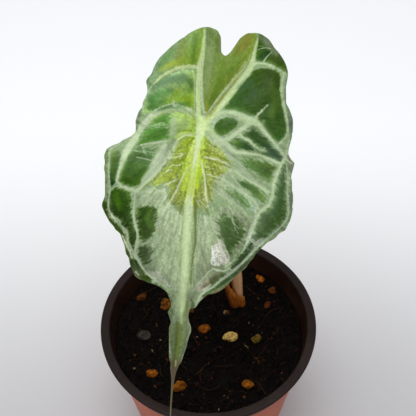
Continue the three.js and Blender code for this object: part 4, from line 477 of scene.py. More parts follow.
    ((66, 94, 64), 0.60, 0.64, [(24.05, 22.44, 0.56), (26.45, 21.24, 0.88), (28.85, 20.04, 0.64)]),
    ((192, 207, 168), 0.80, 0.32, [(12.02, 28.21, 0.24), (14.43, 28.13, 0.28), (16.83, 26.85, 0.32), (18.43, 25.41, 0.32), (20.44, 24.45, 0.20), (22.84, 23.80, 0.16)]),
    ((180, 202, 152), 0.60, 1.20, [(12.82, 35.67, 0.80), (15.63, 34.63, 1.20), (18.43, 34.22, 1.04), (20.04, 33.26, 0.64)]),
    ((196, 210, 184), 0.75, 0.32, [(21.64, 32.06, 0.24), (24.85, 28.45, 0.28), (27.25, 25.65, 0.32), (29.26, 22.84, 0.32), (30.86, 20.44, 0.32)]),
    ((192, 208, 170), 0.75, 0.36, [(10.42, 22.64, 0.28), (15.23, 22.20, 0.32), (20.04, 21.56, 0.36), (23.24, 20.44, 0.40), (26.85, 18.84, 0.40), (29.26, 18.19, 0.36),
        (30.70, 19.80, 0.32)]),
    ((214, 228, 190), 0.50, 0.40, [(-7.45, 3.21, 0.24), (-8.02, -2.81, 0.28), (-8.26, -8.82, 0.28), (-8.66, -14.83, 0.28), (-8.98, -20.84, 0.24), (-9.30, -27.25, 0.20)]),
    ((176, 198, 138), 0.50, 0.36, [(-9.62, 0.00, 0.20), (-10.02, -6.41, 0.24), (-10.42, -13.63, 0.24), (-10.58, -20.84, 0.20)]),
    ((110, 120, 58), 0.75, 0.32, [(-5.37, -2.40, 0.36), (-5.05, -5.61, 0.28), (-4.89, -9.62, 0.28), (-5.05, -14.03, 0.28), (-5.69, -17.63, 0.28), (-6.09, -21.24, 0.28),
        (-6.57, -24.05, 0.24), (-6.81, -27.25, 0.24), (-6.97, -30.46, 0.24)]),
    ((104, 134, 96), 0.60, 2.40, [(-23.24, 45.69, 0.80), (-19.24, 49.69, 1.20), (-14.43, 51.70, 1.20), (-9.62, 52.50, 1.20)]),
    ((70, 128, 56), 0.60, 2.40, [(-22.44, 43.28, 1.20), (-19.24, 45.69, 1.60), (-15.23, 46.89, 1.20)]),
    ((128, 158, 26), 0.60, 2.40, [(-7.21, 41.68, 0.80), (-8.82, 44.08, 1.20), (-10.82, 43.68, 0.80)]),
    ((76, 104, 44), 0.60, 2.00, [(-6.81, 51.30, 0.80), (-6.61, 47.29, 0.80)]),
    ((74, 128, 52), 0.60, 1.60, [(-23.64, 40.08, 0.80), (-20.84, 41.68, 1.20), (-17.63, 42.88, 0.96)]),
    ((198, 216, 176), 0.85, 1.04, [(-23.24, 36.07, 0.96), (-25.25, 34.06, 1.04), (-27.25, 31.26, 0.96), (-29.26, 27.65, 1.04), (-31.66, 24.05, 0.96), (-33.66, 20.04, 0.64)]),
    ((140, 158, 66), 0.60, 0.40, [(-6.41, 37.43, 0.24), (-8.42, 39.03, 0.32), (-10.82, 40.56, 0.28), (-12.82, 41.44, 0.16)]),
    ((146, 164, 74), 0.50, 0.48, [(-7.21, 35.83, 0.20), (-9.62, 37.51, 0.32), (-12.02, 38.47, 0.28), (-15.23, 38.71, 0.24), (-18.43, 38.23, 0.28), (-21.24, 36.71, 0.28),
        (-23.64, 35.11, 0.20)]),
    ((176, 196, 154), 0.70, 2.00, [(-13.63, 35.27, 1.28), (-13.63, 32.46, 1.44), (-14.43, 29.66, 1.20)]),
    ((150, 176, 112), 0.60, 1.60, [(-9.22, 35.27, 1.04), (-9.62, 32.46, 1.04)]),
    ((150, 182, 48), 0.60, 0.72, [(-6.01, 35.67, 0.40), (-6.01, 32.86, 0.48), (-6.81, 30.86, 0.40)]),
    ((192, 208, 174), 0.88, 1.60, [(-17.23, 24.85, 0.96), (-19.24, 21.64, 1.44), (-20.84, 18.43, 1.44), (-23.24, 14.83, 1.04), (-26.05, 11.22, 0.80)]),
    ((198, 210, 184), 0.70, 0.28, [(-35.47, 23.64, 0.16), (-32.06, 23.08, 0.20), (-28.05, 22.84, 0.24), (-24.45, 22.04, 0.20), (-22.04, 21.24, 0.12)]),
    ((196, 208, 182), 0.60, 0.28, [(-33.66, 19.08, 0.12), (-30.86, 19.24, 0.16)]),
    ((196, 208, 182), 0.55, 0.28, [(-25.65, 17.07, 0.12), (-22.44, 16.91, 0.12)]),
    ((196, 208, 182), 0.60, 0.32, [(-26.65, 25.41, 0.16), (-26.05, 23.24, 0.24), (-24.85, 21.24, 0.20), (-24.29, 19.80, 0.12)]),
    ((196, 208, 182), 0.60, 0.28, [(-28.65, 20.44, 0.16), (-26.05, 19.88, 0.20), (-22.84, 19.08, 0.16)]),
    ((198, 210, 182), 0.70, 0.36, [(-26.85, 25.33, 0.20), (-23.24, 25.89, 0.36), (-20.04, 26.45, 0.44), (-16.83, 26.85, 0.40)]),
    ((196, 210, 184), 0.60, 0.28, [(-23.24, 33.26, 0.12), (-20.84, 32.46, 0.16), (-16.03, 32.22, 0.16)]),
    ((80, 112, 42), 0.50, 2.00, [(-31.26, 12.02, 1.20), (-28.85, 10.82, 1.20)]),
    ((72, 104, 58), 0.45, 2.00, [(-30.46, 20.04, 1.20), (-25.65, 19.24, 1.20), (-23.24, 20.44, 0.80)]),
    ((92, 120, 58), 0.75, 0.60, [(-40.48, 23.08, 0.52), (-40.96, 20.04, 0.60), (-41.12, 16.03, 0.64), (-41.12, 11.22, 0.64), (-41.28, 6.41, 0.60), (-41.84, 3.21, 0.40)]),
    ((84, 112, 34), 0.60, 0.80, [(-38.07, 20.04, 0.64), (-38.07, 16.03, 0.72), (-38.23, 12.02, 0.64)]),
    ((192, 206, 176), 0.70, 0.32, [(-36.07, 25.33, 0.16), (-38.71, 23.72, 0.20), (-39.59, 21.64, 0.20), (-39.43, 19.24, 0.20), (-39.75, 16.03, 0.20), (-39.59, 12.02, 0.20),
        (-39.03, 8.82, 0.20), (-39.35, 6.01, 0.24), (-39.75, 3.21, 0.28), (-39.84, 0.40, 0.28)]),
    ((80, 126, 14), 0.60, 2.00, [(-36.87, 5.61, 0.96), (-36.47, 2.81, 1.28), (-35.67, 0.00, 0.96)]),
    ((78, 122, 22), 0.60, 1.60, [(-23.24, -1.20, 0.80), (-24.45, -4.01, 1.04), (-23.24, -7.21, 0.80)]),
    ((40, 66, 22), 0.60, 0.80, [(-27.65, -2.00, 0.56), (-26.85, -0.40, 0.48)]),
    ((62, 88, 42), 0.50, 1.20, [(-29.66, -8.82, 0.64), (-29.66, -12.82, 0.64)]),
    ((126, 114, 38), 0.55, 2.40, [(16.03, 68.93, 1.20), (14.43, 65.32, 1.60), (12.02, 61.72, 0.96)]),
    ((88, 126, 28), 0.50, 2.81, [(5.61, 57.71, 1.20), (4.81, 52.10, 1.80), (3.21, 46.49, 1.40), (1.20, 41.68, 0.80)]),
    ((136, 158, 108), 0.60, 2.00, [(0.60, 64.12, 0.80), (0.60, 58.51, 1.20), (0.00, 52.10, 1.20), (-0.80, 46.49, 0.80)]),
    ((80, 124, 30), 0.45, 2.40, [(12.82, 61.72, 0.96), (11.22, 58.51, 1.20), (8.02, 54.10, 0.96)]),
    ((96, 118, 40), 0.50, 1.60, [(1.20, 70.13, 0.80), (3.21, 67.33, 0.96)]),
    ((146, 148, 54), 0.60, 0.88, [(-0.56, 41.68, 0.64), (-0.64, 39.27, 0.80), (0.00, 40.88, 0.64)]),
    ((214, 235, 166), 0.55, 1.80, [(-1.84, 34.87, 1.36), (-1.60, 32.06, 1.68), (-2.40, 29.26, 1.04)]),
    ((178, 206, 132), 0.50, 1.20, [(1.20, 30.86, 0.80), (2.81, 28.45, 0.88), (0.00, 33.66, 0.80)]),
    ((58, 92, 60), 0.55, 2.81, [(13.22, 48.09, 1.20), (16.83, 50.50, 1.60), (18.43, 45.69, 1.60), (15.23, 43.28, 1.20)]),
    ((80, 110, 36), 0.50, 2.81, [(25.65, 49.69, 1.20), (26.85, 44.08, 1.60), (25.65, 38.47, 1.20)]),
    ((66, 96, 36), 0.45, 2.40, [(24.05, 32.06, 1.20), (26.85, 30.46, 1.60)]),
    ((92, 120, 92), 0.80, 0.40, [(31.66, 52.50, 0.36), (31.10, 49.69, 0.48), (31.02, 46.49, 0.52), (31.50, 42.88, 0.56), (32.46, 38.47, 0.60), (33.26, 34.47, 0.60),
        (33.26, 30.46, 0.52), (33.02, 27.25, 0.40), (32.70, 24.05, 0.32)]),
    ((194, 210, 168), 0.85, 0.32, [(30.86, 54.50, 0.28), (29.90, 51.70, 0.32), (29.42, 48.89, 0.32), (29.66, 45.29, 0.32), (30.46, 41.28, 0.32), (31.26, 37.67, 0.32),
        (31.98, 34.06, 0.32), (31.90, 30.46, 0.32), (30.86, 27.81, 0.28), (28.85, 25.97, 0.28)]),
    ((60, 88, 46), 0.85, 0.56, [(18.03, -14.03, 0.64), (16.43, -16.43, 0.88), (14.43, -19.48, 0.88), (11.86, -22.44, 0.76), (9.46, -24.29, 0.40)]),
    ((68, 98, 58), 0.75, 0.40, [(22.84, -14.43, 0.32), (20.04, -17.23, 0.40), (16.83, -20.44, 0.44), (14.03, -23.80, 0.44), (10.82, -27.01, 0.52), (7.61, -29.90, 0.64),
        (4.41, -31.90, 0.72), (0.40, -33.82, 0.56), (-2.24, -35.43, 0.40)]),
    ((200, 212, 196), 0.85, 0.32, [(32.30, 4.81, 0.24), (32.46, 0.00, 0.28), (32.06, -3.61, 0.32), (30.06, -6.65, 0.32), (27.65, -9.06, 0.32), (24.85, -11.38, 0.32),
        (21.64, -13.79, 0.32), (18.43, -16.67, 0.36), (15.39, -19.88, 0.36), (12.82, -22.68, 0.32), (10.26, -25.01, 0.32), (7.61, -27.01, 0.32),
        (4.41, -29.01, 0.32)]),
    ((92, 122, 88), 0.70, 0.48, [(33.26, 12.82, 0.32), (33.42, 7.21, 0.40), (33.26, 1.60, 0.40), (33.02, -2.40, 0.40), (31.66, -5.61, 0.40), (28.85, -8.66, 0.40),
        (25.65, -11.22, 0.40), (22.44, -13.47, 0.28)]),
    ((56, 86, 48), 0.50, 1.60, [(29.26, 7.21, 0.80), (28.85, 1.60, 1.04), (26.45, -2.40, 1.04)]),
    ((60, 86, 40), 0.50, 1.60, [(9.22, -12.02, 0.96), (8.82, -15.63, 0.96), (8.02, -8.02, 0.96)]),
    ((60, 92, 50), 0.80, 0.48, [(-30.30, -23.24, 0.40), (-28.45, -26.85, 0.56), (-24.85, -29.01, 0.56), (-20.84, -30.70, 0.52), (-18.03, -32.30, 0.48), (-16.03, -34.87, 0.44),
        (-15.07, -38.07, 0.40)]),
    ((182, 200, 172), 0.60, 0.24, [(-30.06, -26.45, 0.12), (-27.81, -28.45, 0.16), (-24.85, -29.82, 0.16), (-21.24, -31.26, 0.16), (-18.43, -32.86, 0.16), (-16.27, -35.67, 0.12)]),
    ((78, 104, 70), 0.75, 0.60, [(-14.83, -32.06, 0.40), (-14.51, -36.07, 0.56), (-14.99, -38.87, 0.56), (-15.63, -41.68, 0.56), (-15.23, -44.88, 0.48), (-15.63, -48.89, 0.40)]),
    ((180, 206, 144), 0.60, 1.00, [(-9.62, -30.86, 0.80), (-10.02, -36.07, 0.80), (-10.42, -40.88, 0.72), (-10.82, -45.69, 0.48)]),
    ((120, 132, 88), 0.65, 0.40, [(-7.45, -35.27, 0.32), (-7.77, -38.47, 0.20), (-8.02, -40.48, 0.36), (-8.26, -42.88, 0.20), (-8.58, -45.29, 0.32)]),
    ((96, 112, 62), 0.60, 0.36, [(-8.42, -36.87, 0.24), (-8.82, -39.67, 0.16), (-8.58, -41.68, 0.24)]),
    ((132, 152, 126), 0.50, 0.80, [(-12.82, -35.27, 0.56), (-12.98, -40.88, 0.64), (-13.47, -45.69, 0.56)]),
    ((190, 208, 166), 0.60, 0.24, [(-11.62, -33.66, 0.16), (-11.86, -38.47, 0.16), (-12.02, -43.28, 0.16)]),
    ((196, 212, 170), 0.50, 0.24, [(-8.82, -31.26, 0.16), (-9.06, -36.07, 0.16), (-9.38, -40.88, 0.16)]),
    ((176, 186, 160), 0.75, 0.28, [(-15.87, -45.69, 0.20), (-16.19, -50.50, 0.20), (-15.71, -55.30, 0.20), (-14.99, -60.11, 0.16)]),
    ((172, 182, 156), 0.75, 0.28, [(-7.21, -45.69, 0.20), (-6.65, -49.29, 0.24), (-7.85, -53.70, 0.20), (-9.62, -58.51, 0.20), (-11.22, -62.52, 0.16)]),
    ((66, 76, 34), 0.70, 0.40, [(-11.86, -48.09, 0.24), (-12.26, -52.10, 0.36), (-12.66, -56.11, 0.36), (-13.22, -60.11, 0.24)]),
    ((64, 84, 52), 0.60, 0.48, [(-14.83, -52.90, 0.32), (-14.27, -57.71, 0.32), (-8.82, -54.50, 0.32), (-10.18, -58.51, 0.28)]),
    ((92, 116, 96), 0.75, 0.48, [(-26.45, 40.88, 0.32), (-27.65, 37.67, 0.56), (-28.29, 34.47, 0.64), (-28.45, 32.06, 0.48)]),
    ((84, 110, 100), 0.60, 0.48, [(-28.61, 32.86, 0.40), (-29.42, 30.86, 0.36), (-30.46, 29.42, 0.24)]),
    ((204, 214, 196), 0.80, 0.32, [(-22.44, 48.89, 0.20), (-23.89, 46.89, 0.28), (-25.01, 44.48, 0.28), (-25.89, 42.08, 0.28), (-25.97, 39.27, 0.24), (-25.41, 37.27, 0.20)]),
    ((198, 210, 186), 0.60, 0.28, [(-27.01, 41.68, 0.12), (-28.21, 38.47, 0.20), (-28.85, 35.67, 0.16)]),
    ((86, 124, 50), 0.60, 0.60, [(-24.29, 51.30, 0.40), (-23.48, 52.90, 0.48), (-22.60, 54.50, 0.32)]),
    ((218, 232, 188), 0.55, 0.48, [(-7.37, 2.00, 0.32), (-7.85, -4.81, 0.36), (-8.26, -12.82, 0.40), (-8.58, -20.04, 0.36), (-9.06, -27.25, 0.32), (-9.62, -33.66, 0.24)]),
    ((170, 194, 128), 0.50, 0.56, [(-9.06, 0.80, 0.28), (-9.62, -6.41, 0.32), (-10.02, -14.43, 0.32), (-10.26, -21.64, 0.28), (-10.42, -28.85, 0.24)]),
    ((172, 196, 132), 0.45, 0.56, [(-6.17, 0.80, 0.28), (-6.41, -6.41, 0.28), (-6.81, -14.43, 0.28), (-7.29, -21.64, 0.24)]),
    ((198, 218, 164), 0.60, 1.80, [(-7.61, 2.81, 1.20), (-8.02, -1.60, 1.84), (-8.42, -8.02, 2.00), (-8.82, -15.23, 2.00), (-9.22, -21.64, 1.84), (-9.62, -28.05, 1.60),
        (-10.02, -34.47, 1.20), (-10.58, -40.88, 0.72)]),
    ((210, 226, 180), 0.45, 1.04, [(-8.02, -0.80, 0.72), (-8.42, -8.82, 0.80), (-8.82, -16.83, 0.80), (-9.38, -24.85, 0.72), (-9.86, -32.86, 0.48)]),
    ((50, 76, 34), 0.88, 0.64, [(18.43, -14.03, 0.64), (16.67, -16.27, 1.12), (14.59, -19.00, 1.20), (12.26, -21.48, 1.04), (9.78, -23.64, 0.56)]),
    ((56, 86, 44), 0.85, 0.40, [(23.24, -14.67, 0.36), (21.40, -15.87, 0.52), (19.64, -17.63, 0.64), (17.71, -19.96, 0.68), (15.39, -22.36, 0.68), (12.98, -24.53, 0.64),
        (10.58, -26.61, 0.68), (8.02, -28.77, 0.76), (5.37, -30.86, 0.76), (2.81, -32.38, 0.68), (0.24, -33.74, 0.56), (-2.00, -35.27, 0.40)]),
    ((204, 214, 198), 0.85, 0.32, [(24.05, -11.86, 0.20), (21.64, -13.79, 0.28), (19.00, -16.27, 0.32), (17.23, -18.35, 0.32), (15.31, -20.52, 0.32), (12.98, -22.60, 0.32),
        (10.82, -24.29, 0.32), (8.42, -25.81, 0.32), (6.41, -27.65, 0.28), (4.61, -29.50, 0.28), (2.97, -30.94, 0.32), (1.20, -31.98, 0.40),
        (-0.96, -33.26, 0.44), (-2.81, -34.71, 0.36), (-3.93, -36.87, 0.28)]),
    ((170, 190, 160), 0.70, 0.24, [(21.64, -16.83, 0.14), (19.64, -19.00, 0.16), (17.63, -21.40, 0.16), (15.23, -23.80, 0.16), (12.66, -26.05, 0.16), (10.02, -28.21, 0.16),
        (7.21, -30.46, 0.16), (4.41, -32.30, 0.16), (1.20, -33.82, 0.16)]),
    ((190, 202, 180), 0.60, 0.32, [(12.82, -14.03, 0.16), (15.63, -16.03, 0.20), (17.63, -17.63, 0.16)]),
    ((206, 214, 200), 0.70, 0.32, [(16.83, -11.62, 0.28), (18.43, -13.22, 0.32), (20.44, -14.27, 0.28)]),
    ((180, 200, 156), 0.70, 0.88, [(-15.23, 41.68, 0.24), (-13.63, 42.88, 0.48), (-12.02, 41.52, 0.32)]),
    ((186, 205, 160), 0.70, 0.72, [(21.64, 39.27, 0.20), (19.88, 37.27, 0.48), (18.84, 35.83, 0.72)]),
    ((150, 168, 130), 0.40, 0.96, [(22.44, 34.87, 0.40), (21.64, 33.26, 0.56)]),
    ((150, 172, 52), 0.55, 2.00, [(-8.82, 59.31, 0.80), (-12.02, 58.91, 1.04), (-15.63, 57.31, 0.88)]),
    ((88, 136, 44), 0.45, 2.40, [(-14.43, 63.32, 0.96), (-16.83, 60.11, 1.20), (-19.24, 56.91, 0.96)]),
    ((200, 216, 160), 0.70, 0.64, [(-4.41, 56.75, 0.48), (-8.02, 57.07, 0.48), (-12.02, 56.51, 0.44), (-15.63, 54.90, 0.44), (-18.84, 52.66, 0.40), (-21.64, 50.09, 0.32)]),
    ((104, 122, 84), 0.60, 1.04, [(-14.27, -50.50, 0.64), (-13.95, -56.11, 0.60), (-13.63, -61.32, 0.36)]),
    ((100, 120, 78), 0.55, 1.04, [(-8.82, -50.50, 0.72), (-10.02, -56.51, 0.64), (-11.62, -62.12, 0.36)]),
    ((188, 208, 156), 0.35, 1.40, [(-11.62, -35.27, 1.20), (-12.02, -40.88, 0.96)]),
    ((180, 192, 164), 0.70, 0.28, [(-15.87, -45.69, 0.20), (-16.19, -50.50, 0.20), (-15.71, -55.30, 0.20), (-14.99, -60.11, 0.16)]),
    ((176, 188, 160), 0.70, 0.28, [(-7.21, -45.69, 0.20), (-6.65, -49.29, 0.24), (-7.85, -53.70, 0.20), (-9.62, -58.51, 0.20), (-11.22, -62.52, 0.16)]),
    ((92, 110, 40), 0.60, 0.40, [(-11.78, -47.29, 0.24), (-12.18, -51.30, 0.36), (-12.58, -55.30, 0.36), (-13.14, -59.71, 0.24)]),
]

# ------------------------------------------------------------------- helpers
def smooth(t):
    t = np.clip(t, 0.0, 1.0)
    return t * t * (3 - 2 * t)


def lin(c):
    """0-255 display colour to linear."""
    c = np.asarray(c, float) / 255.0
    return np.where(c <= 0.04045, c / 12.92, ((c + 0.055) / 1.055) ** 2.4)


def _hash(ix, iy, iz, seed):
    h = (ix * 374761393 + iy * 668265263 + iz * 2147483629 + seed * 974634777) & 0xFFFFFFFF
    h = ((h ^ (h >> 13)) * 1274126177) & 0xFFFFFFFF
    h = ((h ^ (h >> 15)) * 2246822519) & 0xFFFFFFFF
    return ((h ^ (h >> 16)) & 0xFFFFFF) / float(0xFFFFFF) * 2 - 1


def noise(x, y, z=0.0, seed=0):
    """Smooth value noise from -1 to 1."""
    x, y, z = np.broadcast_arrays(np.asarray(x, float), np.asarray(y, float), np.asarray(z, float))
    ix, iy, iz = np.floor(x).astype(np.int64), np.floor(y).astype(np.int64), np.floor(z).astype(np.int64)
    fx, fy, fz = x - ix, y - iy, z - iz
    ux, uy, uz = smooth(fx), smooth(fy), smooth(fz)
    out = 0.0
    for dx in (0, 1):
        wx = ux if dx else 1 - ux
        for dy in (0, 1):
            wy = uy if dy else 1 - uy
            for dz in (0, 1):
                wz = uz if dz else 1 - uz
                out = out + wx * wy * wz * _hash(ix + dx, iy + dy, iz + dz, seed)
    return out


def fbm(x, y, z=0.0, octaves=4, seed=0):
    total, gain, norm = 0.0, 1.0, 0.0
    for o in range(octaves):
        total = total + gain * noise(x * 2 ** o, y * 2 ** o, z * 2 ** o, seed + 17 * o)
        norm += gain
        gain *= 0.5
    return total / norm


def segment(a, b, ax, ay, bx, by):
    """Distance and position along a segment, for arrays of points."""
    dx, dy = bx - ax, by - ay
    t = np.clip(((a - ax) * dx + (b - ay) * dy) / max(dx * dx + dy * dy, 1e-12), 0, 1)
    return np.hypot(a - ax - t * dx, b - ay - t * dy), t


def path_distance(a, b, path):
    best = np.full(a.shape, 1e9)
    for (ax, ay), (bx, by) in zip(path[:-1], path[1:]):
        best = np.minimum(best, segment(a, b, ax, ay, bx, by)[0])
    return best


def inside(a, b, polygon):
    """Signed distance to a polygon, positive inside, for arrays of points."""
    n = len(polygon)
    within = np.zeros(a.shape, bool)
    best = np.full(a.shape, 1e9)
    for i in range(n):
        ax, ay = polygon[i]
        bx, by = polygon[(i + 1) % n]
        best = np.minimum(best, segment(a, b, ax, ay, bx, by)[0])
        crosses = (ay > b) != (by > b)
        if ay != by:
            at = ax + (b - ay) / (by - ay) * (bx - ax)
            within ^= crosses & (a < at)
    return np.where(within, best, -best)


def rounded(points, per=6):
    """Closed smooth curve through a loop of points."""
    p = np.asarray(points, float)
    n = len(p)
    out = []
    for i in range(n):
        p0, p1, p2, p3 = p[i - 1], p[i], p[(i + 1) % n], p[(i + 2) % n]
        for k in range(per):
            t = k / per
            out.append(0.5 * ((2 * p1) + (-p0 + p2) * t + (2 * p0 - 5 * p1 + 4 * p2 - p3) * t * t
                              + (-p0 + 3 * p1 - 3 * p2 + p3) * t ** 3))
    return np.array(out)


def open_curve(points, per=12):
    """Open smooth curve through 3-D points."""
    p = np.asarray(points, float)
    p = np.vstack([2 * p[0] - p[1], p, 2 * p[-1] - p[-2]])
    out = []
    for i in range(1, len(p) - 2):
        p0, p1, p2, p3 = p[i - 1], p[i], p[i + 1], p[i + 2]
        for k in range(per):
            t = k / per
            out.append(0.5 * ((2 * p1) + (-p0 + p2) * t + (2 * p0 - 5 * p1 + 4 * p2 - p3) * t * t
                              + (-p0 + 3 * p1 - 3 * p2 + p3) * t ** 3))
    out.append(p[-2])
    return np.array(out)


def even(points, step, closed=False):
    """Resample a path to even steps."""
    p = np.asarray(points, float)
    if closed:
        p = np.vstack([p, p[:1]])
    s = np.concatenate([[0], np.cumsum(np.linalg.norm(np.diff(p, axis=0), axis=1))])
    n = max(2, int(round(s[-1] / step)))
    at = np.linspace(0, s[-1], n + 1)
    out = np.stack([np.interp(at, s, p[:, k]) for k in range(p.shape[1])], 1)
    return out[:-1] if closed else out


def make(name, verts_mm, faces, smooth_shade=True):
    me = bpy.data.meshes.new(name)
    me.from_pydata((np.asarray(verts_mm, float) * MM).tolist(), [], [list(map(int, f)) for f in faces])
    me.validate()
    me.update()
    if smooth_shade:
        me.polygons.foreach_set("use_smooth", [True] * len(me.polygons))
    ob = bpy.data.objects.new(name, me)
    bpy.context.scene.collection.objects.link(ob)
    return ob


def put(ob, name, values, kind="FLOAT"):
    """Store a value per vertex for the material to read."""
    at = ob.data.attributes.new(name, kind, "POINT")
    values = np.asarray(values, np.float32)
    if kind == "FLOAT":
        at.data.foreach_set("value", values.ravel())
    elif kind == "FLOAT_VECTOR":
        at.data.foreach_set("vector", values.ravel())
    else:
        rgba = np.concatenate([values, np.ones((len(values), 1), np.float32)], 1)
        at.data.foreach_set("color", rgba.ravel())


def settle(ob, body="root", nodes=()):
    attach(ob, body)
    if nodes:
        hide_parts(*nodes)
    return ob


class Nodes:
    """Short names for building a material."""

    def __init__(self, name):
        self.mat = bpy.data.materials.new(name)
        self.mat.use_nodes = True
        self.tree = self.mat.node_tree
        self.tree.nodes.clear()
        self.out = self.tree.nodes.new("ShaderNodeOutputMaterial")
        self.bsdf = self.tree.nodes.new("ShaderNodeBsdfPrincipled")
        self.tree.links.new(self.bsdf.outputs[0], self.out.inputs[0])

    def new(self, kind, **settings):
        node = self.tree.nodes.new(kind)
        for key, value in settings.items():
            setattr(node, key, value)
        return node

    def join(self, value, socket):
        if isinstance(value, (int, float)):
            socket.default_value = value
        elif isinstance(value, (tuple, list, np.ndarray)):
            value = [float(v) for v in value]
            if len(socket.default_value) == 4 and len(value) == 3:
                value = value + [1.0]
            socket.default_value = value
        else:
            self.tree.links.new(value, socket)

    def attr(self, name, output="Fac"):
        return self.new("ShaderNodeAttribute", attribute_name=name).outputs[output]

    def place(self):
        return self.new("ShaderNodeTexCoord").outputs["Object"]

    def scaled(self, vector, by):
        node = self.new("ShaderNodeMapping")
        self.join(vector, node.inputs["Vector"])
        node.inputs["Scale"].default_value = by
        return node.outputs[0]

    def math(self, op, a, b=0.0, c=0.0, clamp=False):
        node = self.new("ShaderNodeMath", operation=op, use_clamp=clamp)
        self.join(a, node.inputs[0]); self.join(b, node.inputs[1]); self.join(c, node.inputs[2])
        return node.outputs[0]

    def noise(self, vector, scale, detail=3.0, rough=0.55, distortion=0.0, output="Fac"):
        node = self.new("ShaderNodeTexNoise")
        self.join(vector, node.inputs["Vector"])
        node.inputs["Scale"].default_value = scale
        node.inputs["Detail"].default_value = detail
        node.inputs["Roughness"].default_value = rough
        node.inputs["Distortion"].default_value = distortion
        return node.outputs[output]

    def voronoi(self, vector, scale, feature="F1", output="Distance"):
        node = self.new("ShaderNodeTexVoronoi", feature=feature)
        self.join(vector, node.inputs["Vector"])
        node.inputs["Scale"].default_value = scale
        return node.outputs[output]

    def ramp(self, value, low, high, a=0.0, b=1.0):
        node = self.new("ShaderNodeMapRange", interpolation_type="SMOOTHSTEP", clamp=True)
        self.join(value, node.inputs["Value"])
        for key, v in (("From Min", low), ("From Max", high), ("To Min", a), ("To Max", b)):
            self.join(v, node.inputs[key])
        return node.outputs[0]

    def mix(self, fac, a, b, blend="MIX"):
        node = self.new("ShaderNodeMix", data_type="RGBA", blend_type=blend)
        self.join(fac, node.inputs[0])
        self.join(a, node.inputs[6]); self.join(b, node.inputs[7])
        return node.outputs[2]

    def bump(self, height, strength, distance, below=None):
        node = self.new("ShaderNodeBump")
        node.inputs["Strength"].default_value = strength
        node.inputs["Distance"].default_value = distance
        self.join(height, node.inputs["Height"])
        if below is not None:
            self.join(below, node.inputs["Normal"])
        return node.outputs[0]

    def done(self, color, rough, normal=None, **fixed):
        self.join(color, self.bsdf.inputs["Base Color"])
        self.join(rough, self.bsdf.inputs["Roughness"])
        if normal is not None:
            self.join(normal, self.bsdf.inputs["Normal"])
        for key, value in fixed.items():
            self.bsdf.inputs[key.replace("_", " ")].default_value = value
        return self.mat


# ---------------------------------------------------------------- leaf blade
ALBEDO = 0.80         # display colours of the leaf become albedo through this


def leaf_lin(c):
    return lin(c) * ALBEDO


def blade_point(a, b, n):
    k = (1 - n * DRAW_IN)[:, None]
    return (BLADE_O + k * (a[:, None] * BLADE_X + b[:, None] * BLADE_Y) + n[:, None] * BLADE_N)


OUTLINE_FINE = even(rounded(OUTLINE, 6), 0.42, closed=True)
OUTLINE_COARSE = even(rounded(OUTLINE, 2), 1.2, closed=True)


def edge_distance(a, b):
    return margin(a, b)[0]


def margin(a, b):
    """Distance to the outline and the direction straight in from the nearest bit of it."""
    best = np.full(a.shape, 1e9)
    nx, ny = np.zeros(a.shape), np.zeros(a.shape)
    p = OUTLINE_COARSE
    turn = np.sum(p[:, 0] * np.roll(p[:, 1], -1) - np.roll(p[:, 0], -1) * p[:, 1])
    s = 1.0 if turn > 0 else -1.0
    for i in range(len(p)):
        ax, ay = p[i - 1]
        bx, by = p[i]
        d = segment(a, b, ax, ay, bx, by)[0]
        hit = d < best
        best[hit] = d[hit]
        length = math.hypot(bx - ax, by - ay)
        nx[hit], ny[hit] = -s * (by - ay) / length, s * (bx - ax) / length
    return best, nx, ny


def vein_fields(a, b):
    """For each kind of vein: its half width less the distance to it (mm)."""
    fields = {}
    for kind, points in VEINS:
        best = fields.get(kind)
        if best is None:
            best = np.full(a.shape, -9.0)
        for (ax, ay, aw), (bx, by, bw) in zip(points[:-1], points[1:]):
            d, t = segment(a, b, ax, ay, bx, by)
            best = np.maximum(best, aw + (bw - aw) * t - d)
        fields[kind] = best
    return fields


def relief(a, b, edge, rib):
    """The blade's broad shape: the same as the CAD solid's upper face."""
    n = np.where(b > 20, -0.0030 * (b - 20) ** 2, 0.0)
    n += np.where(b < -8, -0.0026 * (b + 8) ** 2, 0.0)
    n -= 2.0 * np.exp(-((rib / 5.0) ** 2))
    n += 1.2 * smooth(rib / 16)
    body = smooth((b + 40) / 12)
    n -= 3.0 * body * (1 - smooth(edge / 8)) ** 2
    around = np.arctan2(b - JUNCTION[1] + 30, a + 6)
    n += 1.3 * body * np.sin(7 * around + 0.8) * (1 - smooth(edge / 18))
    return n


